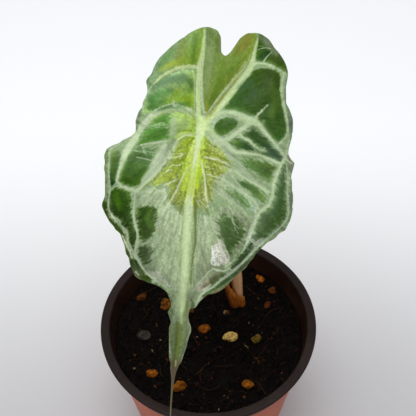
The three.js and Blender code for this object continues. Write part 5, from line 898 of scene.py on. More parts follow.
def flat_triangles(step, keep):
    """Triangles over the blade's outline with points about `step` apart."""
    rim = OUTLINE_FINE
    lo, hi = rim.min(0), rim.max(0)
    rows = np.arange(lo[1], hi[1], step * 0.866)
    pts = []
    for k, y in enumerate(rows):
        x = np.arange(lo[0] + (step / 2 if k % 2 else 0), hi[0], step)
        pts.append(np.stack([x, np.full(x.shape, y)], 1))
    pts = np.vstack(pts)
    pts = pts + np.stack([noise(pts[:, 0] * 3.1, pts[:, 1] * 3.1, seed=3),
                          noise(pts[:, 0] * 3.1, pts[:, 1] * 3.1, seed=4)], 1) * step * 0.12
    # inside test on the fine outline, in blocks
    sd = inside(pts[:, 0], pts[:, 1], [tuple(p) for p in OUTLINE_COARSE])
    near = np.abs(sd) < 1.2
    ok = sd >= 1.2
    if near.any():
        q = pts[near]
        s2 = inside(q[:, 0], q[:, 1], [tuple(p) for p in rim])
        ok[near] = s2 > keep
    pts = pts[ok]
    n = len(rim)
    verts = [Vector((float(x), float(y))) for x, y in rim] + [Vector((float(x), float(y))) for x, y in pts]
    edges = [(i, (i + 1) % n) for i in range(n)]
    out, _, faces, orig, _, _ = mgeo.delaunay_2d_cdt(verts, edges, [list(range(n))], 1, 1e-5)
    where = {}
    for i, ids in enumerate(orig):
        for k in ids:
            if k < n:
                where[k] = i
    co = np.array([(v[0], v[1]) for v in out])
    return co, np.array(faces), [where[i] for i in range(n)]


def fan_of(a, b):
    """Polar place on the blade, following its side veins: angle, and distance from the junction."""
    dx, dy = a - JUNCTION[0] + 0.25 * (JUNCTION[1] - b) * 0.45, b - JUNCTION[1] - 1.5
    dx = dx + 5.0 * np.tanh(dx / 4.0)
    return np.arctan2(dx, -dy), np.hypot(dx, dy)


def paint(colour, a, b, rgb, opacity, soft, points, ragged=None, hair=False):
    """Lay one tapered stroke over the colours."""
    p = np.asarray(points, float)
    pad = p[:, 2].max() + soft + 0.4
    near = np.nonzero((a > p[:, 0].min() - pad) & (a < p[:, 0].max() + pad)
                      & (b > p[:, 1].min() - pad) & (b < p[:, 1].max() + pad))[0]
    if not len(near):
        return
    aa, bb = a[near], b[near]
    best = np.full(aa.shape, -9.0)
    for (ax, ay, aw), (bx, by, bw) in zip(p[:-1], p[1:]):
        d, t = segment(aa, bb, ax, ay, bx, by)
        best = np.maximum(best, aw + (bw - aw) * t - d)
    if ragged is not None:
        best = best + ragged[near]
    m = smooth(0.5 + best / soft) * opacity
    if ragged is not None:
        m = m * (0.72 + 0.55 * np.clip(ragged[near] * 4, -1, 1))
    if hair:
        m = m * smooth((colour[near, 1] - 96) / 66)
    m = np.clip(m, 0, 1)[:, None]
    colour[near] = colour[near] * (1 - m) + np.array(rgb, float) * m


def rib_colour(b):
    """Colour of the main veins along the blade."""
    at = [-57.0, -49.0, -41.0, -37.0, -33.0, -27.0, -21.0, -15.0, -9.0, -3.0, 3.0, 9.0, 15.0, 21.0, 27.0, 33.0, 38.0, 56.0, 74.0]
    tone = [(128, 142, 100), (142, 160, 114), (152, 170, 122), (158, 175, 128), (163, 180, 134), (174, 192, 146),
            (181, 199, 150), (190, 208, 160), (200, 216, 170), (204, 220, 174), (206, 224, 174), (190, 212, 112),
            (192, 214, 124), (202, 222, 138), (208, 228, 158), (204, 226, 150), (192, 214, 150), (186, 206, 150), (188, 206, 150)]
    return np.stack([np.interp(b, at, [c[k] for c in tone]) for k in range(3)], 1)


def blade_colour(a, b, edge, fields, inward):
    """Base colour at each point: zones, dark patches, painted highlights, the yellow heart, then the fine strokes."""
    th, r = fan_of(a, b)
    streak = (0.6 * noise(th * 36, r * 0.13, seed=11) + 0.65 * noise(th * 84, r * 0.20, seed=12)
              + 0.4 * noise(a * 1.3, b * 1.3, seed=13))
    fine = noise(th * 60, r * 0.30, seed=14)
    blotch = fbm(a * 0.16, b * 0.16, octaves=3, seed=21)
    colour = np.repeat(np.array([BASE_COLOUR], float), len(a), 0)
    # patches that run out to the margin keep their colour right up to it
    push = np.clip(1.7 - edge, 0, 1.7)
    # the neck is narrow: never push past its middle
    push = np.where(b < -32, np.minimum(push, 0.9), push)
    a0, b0 = a, b
    a, b = a + inward[0] * push, b + inward[1] * push
    for name, feather, ragged, polygon, c0, c1, centre, direction, half in PATCHES:
        lo, hi = np.min(polygon, 0) - 3.5, np.max(polygon, 0) + 3.5
        near = (a > lo[0]) & (a < hi[0]) & (b > lo[1]) & (b < hi[1])
        if not near.any():
            continue
        aa, bb = a[near], b[near]
        sd = inside(aa, bb, polygon) + ragged * streak[near] * 1.25 + 0.25 * blotch[near]
        m = smooth(0.5 + sd / (2 * feather))[:, None]
        t = np.clip(((aa - centre[0]) * direction[0] + (bb - centre[1]) * direction[1]) / max(half, 0.5), -1.3, 1.3)
        c = np.array(c0, float) + (np.array(c1, float) - np.array(c0, float)) * (0.5 + 0.5 * t)[:, None]
        if name[0] == "p":
            c = c * (1 + 0.15 * streak[near] + 0.12 * blotch[near])[:, None]
            # lighter towards its edge, deepest in the middle
            deep = smooth(sd / 3.0)[:, None]
            c = c * (1.12 - 0.16 * deep)
        elif name[:2] == "y_":
            c = c * (1 + 0.14 * streak[near])[:, None]
            if name == "y_olive":
                ridged = 1 - np.abs(noise(aa * 1.0 + 0.6 * fine[near], bb * 1.5, seed=46))
                net = (smooth((ridged - 0.84) / 0.12) * 0.42)[:, None]
                c = c * (1 - net) + np.array([206, 214, 164], float) * net
                spot = (smooth((noise(aa * 1.3, bb * 1.9, seed=47) - 0.25) / 0.3) * 0.34 * smooth((25 - bb) / 10))[:, None]
                c = c * (1 - spot) + np.array([104, 106, 30], float) * spot
        # s_ patches: painted highlights, with a mottled net laid over the pale shine
        elif name[:2] == "s_":
            net = np.abs(noise(aa * 1.15, bb * 1.15, seed=44)) + 0.6 * np.abs(noise(aa * 2.4, bb * 2.4, seed=45))
            c = c * (0.80 + 0.42 * np.clip(net * 1.6, 0, 1))[:, None]
        else:
            k = 0.15 if name in ("z_lower_left", "z_lower_right", "z_right_mid", "z_right", "z_mid_left") else 0.08
            c = c * (1 + 0.48 * k * streak[near] + 0.05 * blotch[near] + 0.6 * k * fine[near])[:, None]
        colour[near] = colour[near] * (1 - m) + c * m
    a, b = a0, b0
    # silver halo beside the paler veins
    halo = np.exp(-np.clip(-fields["pale"], 0, 9) ** 2 / 1.1)[:, None] * 0.40
    colour = colour * (1 - halo) + np.array([160, 182, 140]) * halo
    # fine hairs of silver and of green, running with the side veins
    rng = np.random.default_rng(5)
    for k in range(1400):
        x, y = rng.uniform(-42, 34), rng.uniform(-46, 36)
        if y < -20 and abs(x + 8) > 34 + (y + 20) * 0.8:
            continue
        t0, _ = fan_of(np.array([x]), np.array([y]))
        side = 1.0 if x > JUNCTION[0] - 0.11 * (JUNCTION[1] - y) else -1.0
        ang = float(t0[0]) + rng.normal(0, 0.10)
        length = rng.uniform(1.6, 6.0)
        dx, dy = math.sin(ang), -math.cos(ang)
        bend = rng.normal(0, 0.12)
        pts = [(x, y, 0.06), (x + dx * length * 0.5 - dy * bend, y + dy * length * 0.5 + dx * bend, rng.uniform(0.14, 0.30)),
               (x + dx * length, y + dy * length, 0.05)]
        if rng.uniform() < 0.56:
            paint(colour, a, b, (203, 215, 190), rng.uniform(0.18, 0.50), 0.40, pts, None, True)
        else:
            paint(colour, a, b, (92, 122, 72), rng.uniform(0.15, 0.42), 0.45, pts, None, True)
    for name, feather, ragged, polygon, c0, c1, centre, direction, half in PATCHES:
        if name[0] != "p" or ragged < 0.44:
            continue
        rim = even([tuple(q) for q in polygon], 0.62, closed=True)
        for x, y in rim:
            t0, _ = fan_of(np.array([x]), np.array([y]))
            side = 1.0 if x > JUNCTION[0] - 0.11 * (JUNCTION[1] - y) else -1.0
            slant = 1.3 * float(smooth((6.0 - y) / 14.0))
            dx, dy = math.sin(float(t0[0])) + slant * side, -math.cos(float(t0[0]))
            size = math.hypot(dx, dy)
            ang = math.atan2(dy / size, dx / size) + rng.normal(0, 0.16)
            dx, dy = math.cos(ang), math.sin(ang)
            length = rng.uniform(0.9, 1.1 + 2.2 * ragged)
            away = (x - centre[0]) * dx + (y - centre[1]) * dy < 0
            dark = rng.uniform() < 0.42
            # pale hairs run into the patch, dark ones run out of it
            k0, k1 = (-0.35, 1.0) if away != dark else (0.35, -1.0)
            pts = [(x + dx * length * k0, y + dy * length * k0, 0.16 + 0.10 * rng.uniform()),
                   (x + dx * length * k1, y + dy * length * k1, 0.03)]
            tone = np.array(c0 if rng.uniform() < 0.5 else c1, float) * (0.86 if dark else 1.0)
            if not dark:
                tone = np.array([168, 188, 148], float)
            paint(colour, a, b, tuple(tone), rng.uniform(0.30, 0.75), 0.34, pts)
    grit = np.clip(1.6 * noise(a * 2.1, b * 2.1, seed=48) + 0.8 * noise(a * 4.0, b * 4.0, seed=49), -1.2, 1.2)
    colour *= (1 + (0.035 + 0.008 * smooth((8 - b) / 14)) * grit)[:, None]
    wobble = 0.28 * noise(a * 1.5, b * 1.5, seed=42) + 0.16 * noise(a * 3.1, b * 3.1, seed=43)
    low = 0.24 + 0.76 * smooth((b - 4) / 22)
    for kind, tone, soft, amount in (("pale", (184, 205, 158), 0.90, 0.84), ("lime", (178, 196, 136), 0.66, 0.85),
                                     ("main", rib_colour(b), 0.62, 0.88)):
        f = fields[kind] * (low if kind == "main" else 1.0)
        mv = (smooth(0.5 + (f + 0.5 * wobble) / soft) * amount)[:, None]
        grain = (1 + 0.045 * streak + 0.03 * fine)[:, None]
        colour = colour * (1 - mv) + np.array(tone, float) * grain * mv
    for rgb, opacity, soft, points in STROKES:
        paint(colour, a, b, rgb, opacity, soft, points, wobble * min(1.0, 1.7 * soft) if soft < 1.0 else None)
    colour *= (1 + 0.05 * fbm(a * 1.1, b * 1.1, octaves=2, seed=41) + 0.022 * grit)[:, None]
    return np.clip(colour, 4, 250), streak


def leaf():
    rim_n = len(OUTLINE_FINE)
    parts = []
    for step, keep in ((0.39, 0.24), (0.75, 0.38)):
        co, faces, rim = flat_triangles(step, keep)
        a, b = co[:, 0], co[:, 1]
        edge, inx, iny = margin(a, b)
        rib = path_distance(a, b, MIDRIB)
        for v in LOBE_VEINS:
            rib = np.minimum(rib, path_distance(a, b, v))
        fields = vein_fields(a, b)
        parts.append((co, faces, rim, a, b, edge, rib, fields))
        if len(parts) == 1:
            inward = (inx, iny)

    def broad(a, b, edge, rib, fields):
        n = relief(a, b, edge, rib)
        near = np.maximum(np.maximum(fields["main"], fields["pale"]), np.maximum(fields["lime"], fields["thin"] - 0.4))
        away = np.clip(-near, 0, 9)
        n = n + 1.05 * (1 - np.exp(-((away / 3.2) ** 2))) * smooth(edge / 3.0) * smooth((b + 42) / 14)
        n = n + 0.35 * fbm(a * 0.10, b * 0.10, octaves=2, seed=51) * smooth(edge / 4)
        # small waves along the margin
        along = np.arctan2(b - 20, a + 4) * 24
        n = n + 0.55 * noise(along, 0.0 * along, seed=52) * np.exp(-((edge / 3.4) ** 2)) * smooth((b + 40) / 10)
        return n

    # upper surface
    co, faces, rim_top, a, b, edge, rib, fields = parts[0]
    n = broad(a, b, edge, rib, fields)
    n -= 0.34 * smooth(0.5 + fields["main"] / 0.9) + 0.26 * smooth(0.5 + fields["pale"] / 0.9) \
        + 0.16 * smooth(0.5 + fields["thin"] / 0.5) + 0.22 * smooth(0.5 + fields["lime"] / 0.8)
    ridge = smooth(0.5 + (fields["main"] - 0.9) / 0.7) * smooth((30 - b) / 6)
    n += 0.22 * ridge                                  # midrib's raised middle
    colour, streak = blade_colour(a, b, edge, fields, inward)
    n += 0.05 * streak * smooth(edge / 2)
    n -= 0.12 * (1 - smooth(edge / 0.7))
    top = blade_point(a, b, n)

    # lower surface: thinner towards the margin, ribs under the veins
    co2, faces2, rim_bot, a2, b2, edge2, rib2, fields2 = parts[1]
    n2 = broad(a2, b2, edge2, rib2, fields2)
    t = 0.16 + 0.34 * smooth(edge2 / 0.9)
    ribs = 2.3 * np.exp(-((path_distance(a2, b2, MIDRIB) / 1.7) ** 2)) * smooth((b2 + 66) / 90)
    for v in LOBE_VEINS:
        ribs = np.maximum(ribs, 1.7 * np.exp(-((path_distance(a2, b2, v) / 1.3) ** 2)) * smooth((76 - b2) / 40))
    ribs = np.maximum(ribs, 2.5 * np.exp(-((np.hypot(a2 - JUNCTION[0], b2 - JUNCTION[1]) / 3.2) ** 2)))
    ribs = np.maximum(ribs, 0.75 * smooth(0.5 + (fields2["pale"] + 0.25) / 1.2))
    ribs = np.maximum(ribs, 0.55 * smooth(0.5 + (fields2["lime"] + 0.25) / 1.1))
    ribs = np.maximum(ribs, 0.28 * smooth(0.5 + (fields2["thin"] + 0.1) / 0.8))
    ribs *= smooth(edge2 / 1.6)
    n2 = n2 - t - ribs
    bottom = blade_point(a2, b2, n2)

    verts = np.vstack([top, bottom])
    off = len(top)

    def area_sign(co, f):
        p = co[f[:, 0]]; q = co[f[:, 1]]; r = co[f[:, 2]]
        return (q[:, 0] - p[:, 0]) * (r[:, 1] - p[:, 1]) - (q[:, 1] - p[:, 1]) * (r[:, 0] - p[:, 0])

    up = np.where((area_sign(co, faces) > 0)[:, None], faces, faces[:, ::-1])
    down = np.where((area_sign(co2, faces2) > 0)[:, None], faces2[:, ::-1], faces2) + off
    all_faces = [tuple(f) for f in up] + [tuple(f) for f in down]
    # the rim's wall
    ring = OUTLINE_FINE
    turn = np.sum(ring[:, 0] * np.roll(ring[:, 1], -1) - np.roll(ring[:, 0], -1) * ring[:, 1])
    for i in range(rim_n):
        j = (i + 1) % rim_n
        p, q = rim_top[i], rim_top[j]
        r, s = rim_bot[j] + off, rim_bot[i] + off
        all_faces.append((q, p, s, r) if turn > 0 else (p, q, r, s))
    ob = make("leaf_blade_look", verts, all_faces)

    def both(first, second):
        return np.concatenate([first, second])

    tail = smooth((-58 - b) / 8)[:, None]
    colour = colour * (1 - tail) + np.array([98, 84, 66]) * tail

    zeros = np.zeros(len(a2))
    put(ob, "tint", np.vstack([lin(colour) * ALBEDO, np.repeat([lin([150, 172, 128])], len(a2), 0)]), "FLOAT_COLOR")
    for kind in ("main", "pale", "lime", "thin", "white", "olive", "edge"):
        put(ob, "v_" + kind, both(np.clip(fields[kind], -3, 3), np.clip(fields2[kind], -3, 3)))
    put(ob, "under", both(np.zeros(len(a)), np.ones(len(a2))))
    put(ob, "rim_mm", both(np.clip(edge, 0, 20), np.clip(edge2, 0, 20)))
    put(ob, "flat", np.vstack([np.stack([a, b, a * 0], 1), np.stack([a2, b2, a2 * 0 + 40], 1)]), "FLOAT_VECTOR")
    th, r = fan_of(a, b)
    put(ob, "fan", np.vstack([np.stack([th * 30, r * 0.14, th * 0], 1), np.stack([a2, b2, a2 * 0], 1)]), "FLOAT_VECTOR")

    m = Nodes("leaf")
    flat = m.attr("flat", "Vector")
    fan = m.attr("fan", "Vector")
    wobble = m.math("SUBTRACT", m.noise(flat, 1.6, 3.0, 0.6), 0.5)
    fine = m.math("SUBTRACT", m.noise(flat, 4.2, 2.0, 0.5), 0.5)
    rays = m.math("SUBTRACT", m.noise(fan, 2.2, 3.0, 0.6), 0.5)

    def mask(name, soft, amp, shift=0.0):
        f = m.math("ADD", m.attr("v_" + name), m.math("MULTIPLY", wobble, amp))
        f = m.math("ADD", f, m.math("MULTIPLY", fine, amp * 0.6))
        return m.ramp(f, -soft + shift, soft + shift)

    tint = m.attr("tint", "Color")
    # fine silver flecks and rays
    c = m.mix(m.math("MULTIPLY", m.ramp(rays, 0.02, 0.22), 0.14), tint, m.mix(1.0, tint, (1.5, 1.42, 1.7), "MULTIPLY"))
    c = m.mix(m.math("MULTIPLY", m.ramp(rays, -0.02, -0.22), 0.24), c, m.mix(1.0, c, (0.55, 0.62, 0.45), "MULTIPLY"))
    c = m.mix(m.math("MULTIPLY", m.ramp(fine, -0.03, -0.20), 0.30), c, m.mix(1.0, c, (0.60, 0.66, 0.52), "MULTIPLY"))
    c = m.mix(m.math("MULTIPLY", m.ramp(fine, 0.03, 0.20), 0.24), c, m.mix(1.0, c, (1.36, 1.30, 1.46), "MULTIPLY"))
    olive = m.math("MULTIPLY", mask("olive", 0.24, 1.9), 0.80)
    thin = m.math("MULTIPLY", mask("thin", 0.20, 0.35), 0.74)
    white = m.math("MULTIPLY", mask("white", 0.18, 0.95), 0.80)
    c = m.mix(olive, c, leaf_lin([112, 124, 52]))
    c = m.mix(thin, c, leaf_lin([178, 194, 160]))
    c = m.mix(white, c, leaf_lin([212, 222, 190]))
    c = m.mix(m.math("MULTIPLY", mask("edge", 0.2, 0.2), 0.8), c, leaf_lin([176, 156, 120]))
    # thin pale skin along the very margin
    rim = m.ramp(m.math("ADD", m.attr("rim_mm"), m.math("MULTIPLY", wobble, 0.3)), 0.45, 0.05)
    c = m.mix(m.math("MULTIPLY", rim, 0.35), c, leaf_lin([134, 142, 100]))
    # the underside is paler and more even, with its ribs lighter
    below = m.mix(m.math("MULTIPLY", m.ramp(wobble, -0.2, 0.25), 0.5), lin([124, 150, 104]), lin([146, 170, 124]))
    ribs = m.math("MAXIMUM", m.math("MAXIMUM", m.ramp(m.attr("v_main"), -0.9, 0.3), m.ramp(m.attr("v_pale"), -0.7, 0.2)),
                  m.math("MULTIPLY", m.ramp(m.attr("v_thin"), -0.3, 0.2), 0.6))
    below = m.mix(m.math("MULTIPLY", ribs, 0.75), below, lin([186, 204, 150]))
    c = m.mix(m.attr("under"), c, below)
    rough = m.math("ADD", m.math("MULTIPLY", m.noise(flat, 1.1, 3.0), 0.22), 0.40)
    rough = m.math("ADD", rough, m.math("MULTIPLY", m.attr("under"), 0.14))
    height = m.math("ADD", m.math("MULTIPLY", m.noise(fan, 3.0, 3.0), 0.6), m.math("MULTIPLY", m.noise(flat, 3.4, 3.0), 0.5))
    height = m.math("ADD", height, m.math("MULTIPLY", thin, 0.5))
    n1 = m.bump(height, 0.30, 0.00010)
    cells = m.voronoi(flat, 2.6)
    n2_ = m.bump(cells, 0.10, 0.00006, n1)
    mat = m.done(c, rough, n2_, Specular_IOR_Level=0.10)
    ob.data.materials.append(mat)
    return settle(ob, nodes=["leaf_blade"])


leaf_ob = leaf()

# ------------------------------------------------------------------- petiole
junction_n = relief(np.array([JUNCTION[0]]), np.array([JUNCTION[1]]), np.array([20.0]), np.array([0.0]))
FOOT = blade_point(np.array([JUNCTION[0]]), np.array([JUNCTION[1]]), junction_n - 2.9)[0]
PETIOLE = [(16.0, 20.6, 73.0), (15.9, 20.9, 84.0), (14.9, 23.6, 108.0), (12.1, 25.9, 140.0),
           (8.2, 24.6, 175.0), (3.8, 19.0, 207.0), (0.6, 12.2, 223.0), tuple(FOOT)]


def frames(path):
    """Directions across a path, carried along it without twist."""
    t = np.gradient(path, axis=0)
    t /= np.linalg.norm(t, axis=1)[:, None]
    u = np.cross(t[0], [0, 1, 0]); u /= np.linalg.norm(u)
    us = [u]
    for k in range(1, len(path)):
        u = us[-1] - t[k] * np.dot(us[-1], t[k])
        us.append(u / np.linalg.norm(u))
    us = np.array(us)
    return t, us, np.cross(t, us)


def tube(name, path, radius_of, sides, lumps=None):
    t, u, v = frames(path)
    verts, s_at, w_at = [], [], []
    n = len(path)
    for k in range(n):
        s = k / (n - 1)
        for j in range(sides):
            w = 2 * math.pi * j / sides
            r = radius_of(s, w)
            verts.append(path[k] + r * (math.cos(w) * u[k] + math.sin(w) * v[k]))
            s_at.append(s); w_at.append(w)
    faces = []
    for k in range(n - 1):
        for j in range(sides):
            a0, a1 = k * sides + j, k * sides + (j + 1) % sides
            faces.append((a0, a1, a1 + sides, a0 + sides))
    faces.append(tuple(range(sides))[::-1])
    faces.append(tuple((n - 1) * sides + j for j in range(sides)))
    return make(name, np.array(verts), faces), np.array(s_at), np.array(w_at)


def petiole():
    path = even(open_curve(PETIOLE, 16), 1.1)

    def radius(s, w):
        r = 3.0 + (1.75 - 3.0) * s
        r += 0.5 * math.exp(-((1 - s) / 0.018) ** 2)          # flares into the blade's ribs
        r += 0.35 * math.exp(-(s / 0.06) ** 2)
        r *= 1 + 0.035 * math.cos(3 * w + 0.6) + 0.012 * math.cos(11 * w)
        groove = math.exp(-(((w - math.pi * 1.5 + math.pi) % (2 * math.pi) - math.pi) / 0.35) ** 2)
        return r * (1 - 0.07 * groove * smooth(np.array(s * 3)))

    ob, s, w = tube("petiole_look", path, radius, 28)
    put(ob, "along", s)
    put(ob, "skin", np.stack([np.cos(w) * 2.4, np.sin(w) * 2.4, s * 165], 1), "FLOAT_VECTOR")
    m = Nodes("petiole")
    along = m.attr("along")
    skin = m.attr("skin", "Vector")
    lines = m.noise(m.scaled(skin, (1.6, 1.6, 0.05)), 1.0, 4.0, 0.6)
    spots = m.noise(m.scaled(skin, (1.0, 1.0, 0.35)), 1.3, 3.0, 0.6)
    c = m.mix(m.ramp(along, 0.10, 0.42), lin([236, 172, 122]), lin([190, 178, 118]))
    c = m.mix(m.ramp(along, 0.40, 0.95), c, lin([156, 186, 104]))
    c = m.mix(m.math("MULTIPLY", m.ramp(lines, 0.48, 0.66), 0.5), c, lin([150, 140, 82]))
    c = m.mix(m.math("MULTIPLY", m.ramp(lines, 0.46, 0.30), 0.35), c, lin([226, 202, 160]))
    c = m.mix(m.math("MULTIPLY", m.ramp(spots, 0.60, 0.70), 0.35), c, lin([134, 92, 60]))
    n1 = m.bump(lines, 0.3, 0.0003)
    rough = m.math("ADD", m.math("MULTIPLY", spots, 0.2), 0.28)
    ob.data.materials.append(m.done(c, rough, n1, Specular_IOR_Level=0.5, Coat_Weight=0.1, Coat_Roughness=0.2))
    return settle(ob, nodes=["petiole"])


petiole_ob = petiole()


# -------------------------------------------------------------- basal sheath
def sheath():
    centre = even(open_curve(PETIOLE, 16), 0.5)
    levels, columns = 64, 84
    inner, outer, up, wide = [], [], [], []
    for i in range(levels + 1):
        u = i / levels
        for j in range(columns + 1):
            w = j / columns
            angle = math.radians(100 + 215 * w)
            peak = math.exp(-(((w - 0.36) / 0.26) ** 2))
            ragged = 0.9 * float(noise(w * 17, 3.0, seed=61)) + 0.5 * float(noise(w * 41, 7.0, seed=62))
            top = 91 + 26 * peak + ragged * u
            z = 76.5 + (top - 76.5) * u
            flare = 4.4 + 2.6 * float(smooth(np.array((z - 80) / 30))) * peak + 0.5 * math.sin(5 * angle)
            flare += 0.22 * math.sin(angle * 23 + 2 * u) + 0.35 * float(noise(w * 7, u * 5, seed=63))
            c = centre[np.argmin(np.abs(centre[:, 2] - z))]
            for r, store in ((flare + 0.1, inner), (flare + 0.1 + 0.55 * (1 - 0.6 * u), outer)):
                store.append((c[0] + r * math.cos(angle) - 0.8 * peak * u,
                              c[1] + r * math.sin(angle) - 0.8 * peak * u, z))
            up.append(u); wide.append(w)
    n, row = (levels + 1) * (columns + 1), columns + 1
    faces = []
    for i in range(levels):
        for j in range(columns):
            a0 = i * row + j
            faces.append((n + a0, n + a0 + 1, n + a0 + row + 1, n + a0 + row))
            faces.append((a0, a0 + row, a0 + row + 1, a0 + 1))
    for j in range(columns):
        faces.append((j, j + 1, n + j + 1, n + j))
        t0 = levels * row + j
        faces.append((n + t0, n + t0 + 1, t0 + 1, t0))
    for i in range(levels):
        a0, b0 = i * row, (i + 1) * row
        faces.append((n + a0, n + b0, b0, a0))
        a1, b1 = i * row + columns, (i + 1) * row + columns
        faces.append((a1, b1, n + b1, n + a1))
    ob = make("basal_sheath_look", np.array(inner + outer), faces)
    put(ob, "up", np.array(up + up))
    put(ob, "skin", np.array([(w * 26, u * 3.0, 0) for u, w in zip(up, wide)] * 2), "FLOAT_VECTOR")
    m = Nodes("dry_sheath")
    up_ = m.attr("up")
    skin = m.attr("skin", "Vector")
    ribs = m.noise(skin, 1.6, 4.0, 0.6)
    c = m.mix(m.ramp(up_, 0.16, 0.70), lin([66, 20, 5]), lin([160, 86, 18]))
    c = m.mix(m.ramp(up_, 0.75, 1.0), c, lin([190, 116, 36]))
    c = m.mix(m.math("MULTIPLY", m.ramp(ribs, 0.46, 0.62), 0.5), c, lin([96, 44, 12]))
    c = m.mix(m.math("MULTIPLY", m.ramp(ribs, 0.44, 0.30), 0.25), c, lin([200, 130, 50]))
    n1 = m.bump(ribs, 0.5, 0.0006)
    ob.data.materials.append(m.done(c, 0.55, n1, Specular_IOR_Level=0.35))
    return settle(ob, nodes=["basal_sheath"])


sheath_ob = sheath()


# ----------------------------------------------------------------------- pot
def outer_r(z):
    return POT_FOOT + (POT_NECK - POT_FOOT) * z / (POT_H - POT_DROP)


def inner_r(z):
    return outer_r(z) - POT_WALL


def arc(cx, cz, r, a0, a1, n=5):
    return [(cx + r * math.cos(math.radians(a0 + (a1 - a0) * k / n)),
             cz + r * math.sin(math.radians(a0 + (a1 - a0) * k / n))) for k in range(n + 1)]


def lathe(name, profile, segments, closed=False):
    """Turn a profile (r, z), from axis to axis, about Z."""
    verts, rows = [], []
    for r, z in profile:
        if r < 1e-6:
            rows.append([len(verts)]); verts.append((0, 0, z))
        else:
            rows.append(list(range(len(verts), len(verts) + segments)))
            for j in range(segments):
                w = 2 * math.pi * j / segments
                verts.append((r * math.cos(w), r * math.sin(w), z))
    faces, owner = [], []
    for i in range(len(rows) - 1):
        p, q = rows[i], rows[i + 1]
        for j in range(segments):
            k = (j + 1) % segments
            if len(p) == 1 and len(q) == 1:
                continue
            if len(p) == 1:
                faces.append((p[0], q[k], q[j]))
            elif len(q) == 1:
                faces.append((p[j], p[k], q[0]))
            else:
                faces.append((p[j], p[k], q[k], q[j]))
            owner.append(i)
    return np.array(verts), faces, owner


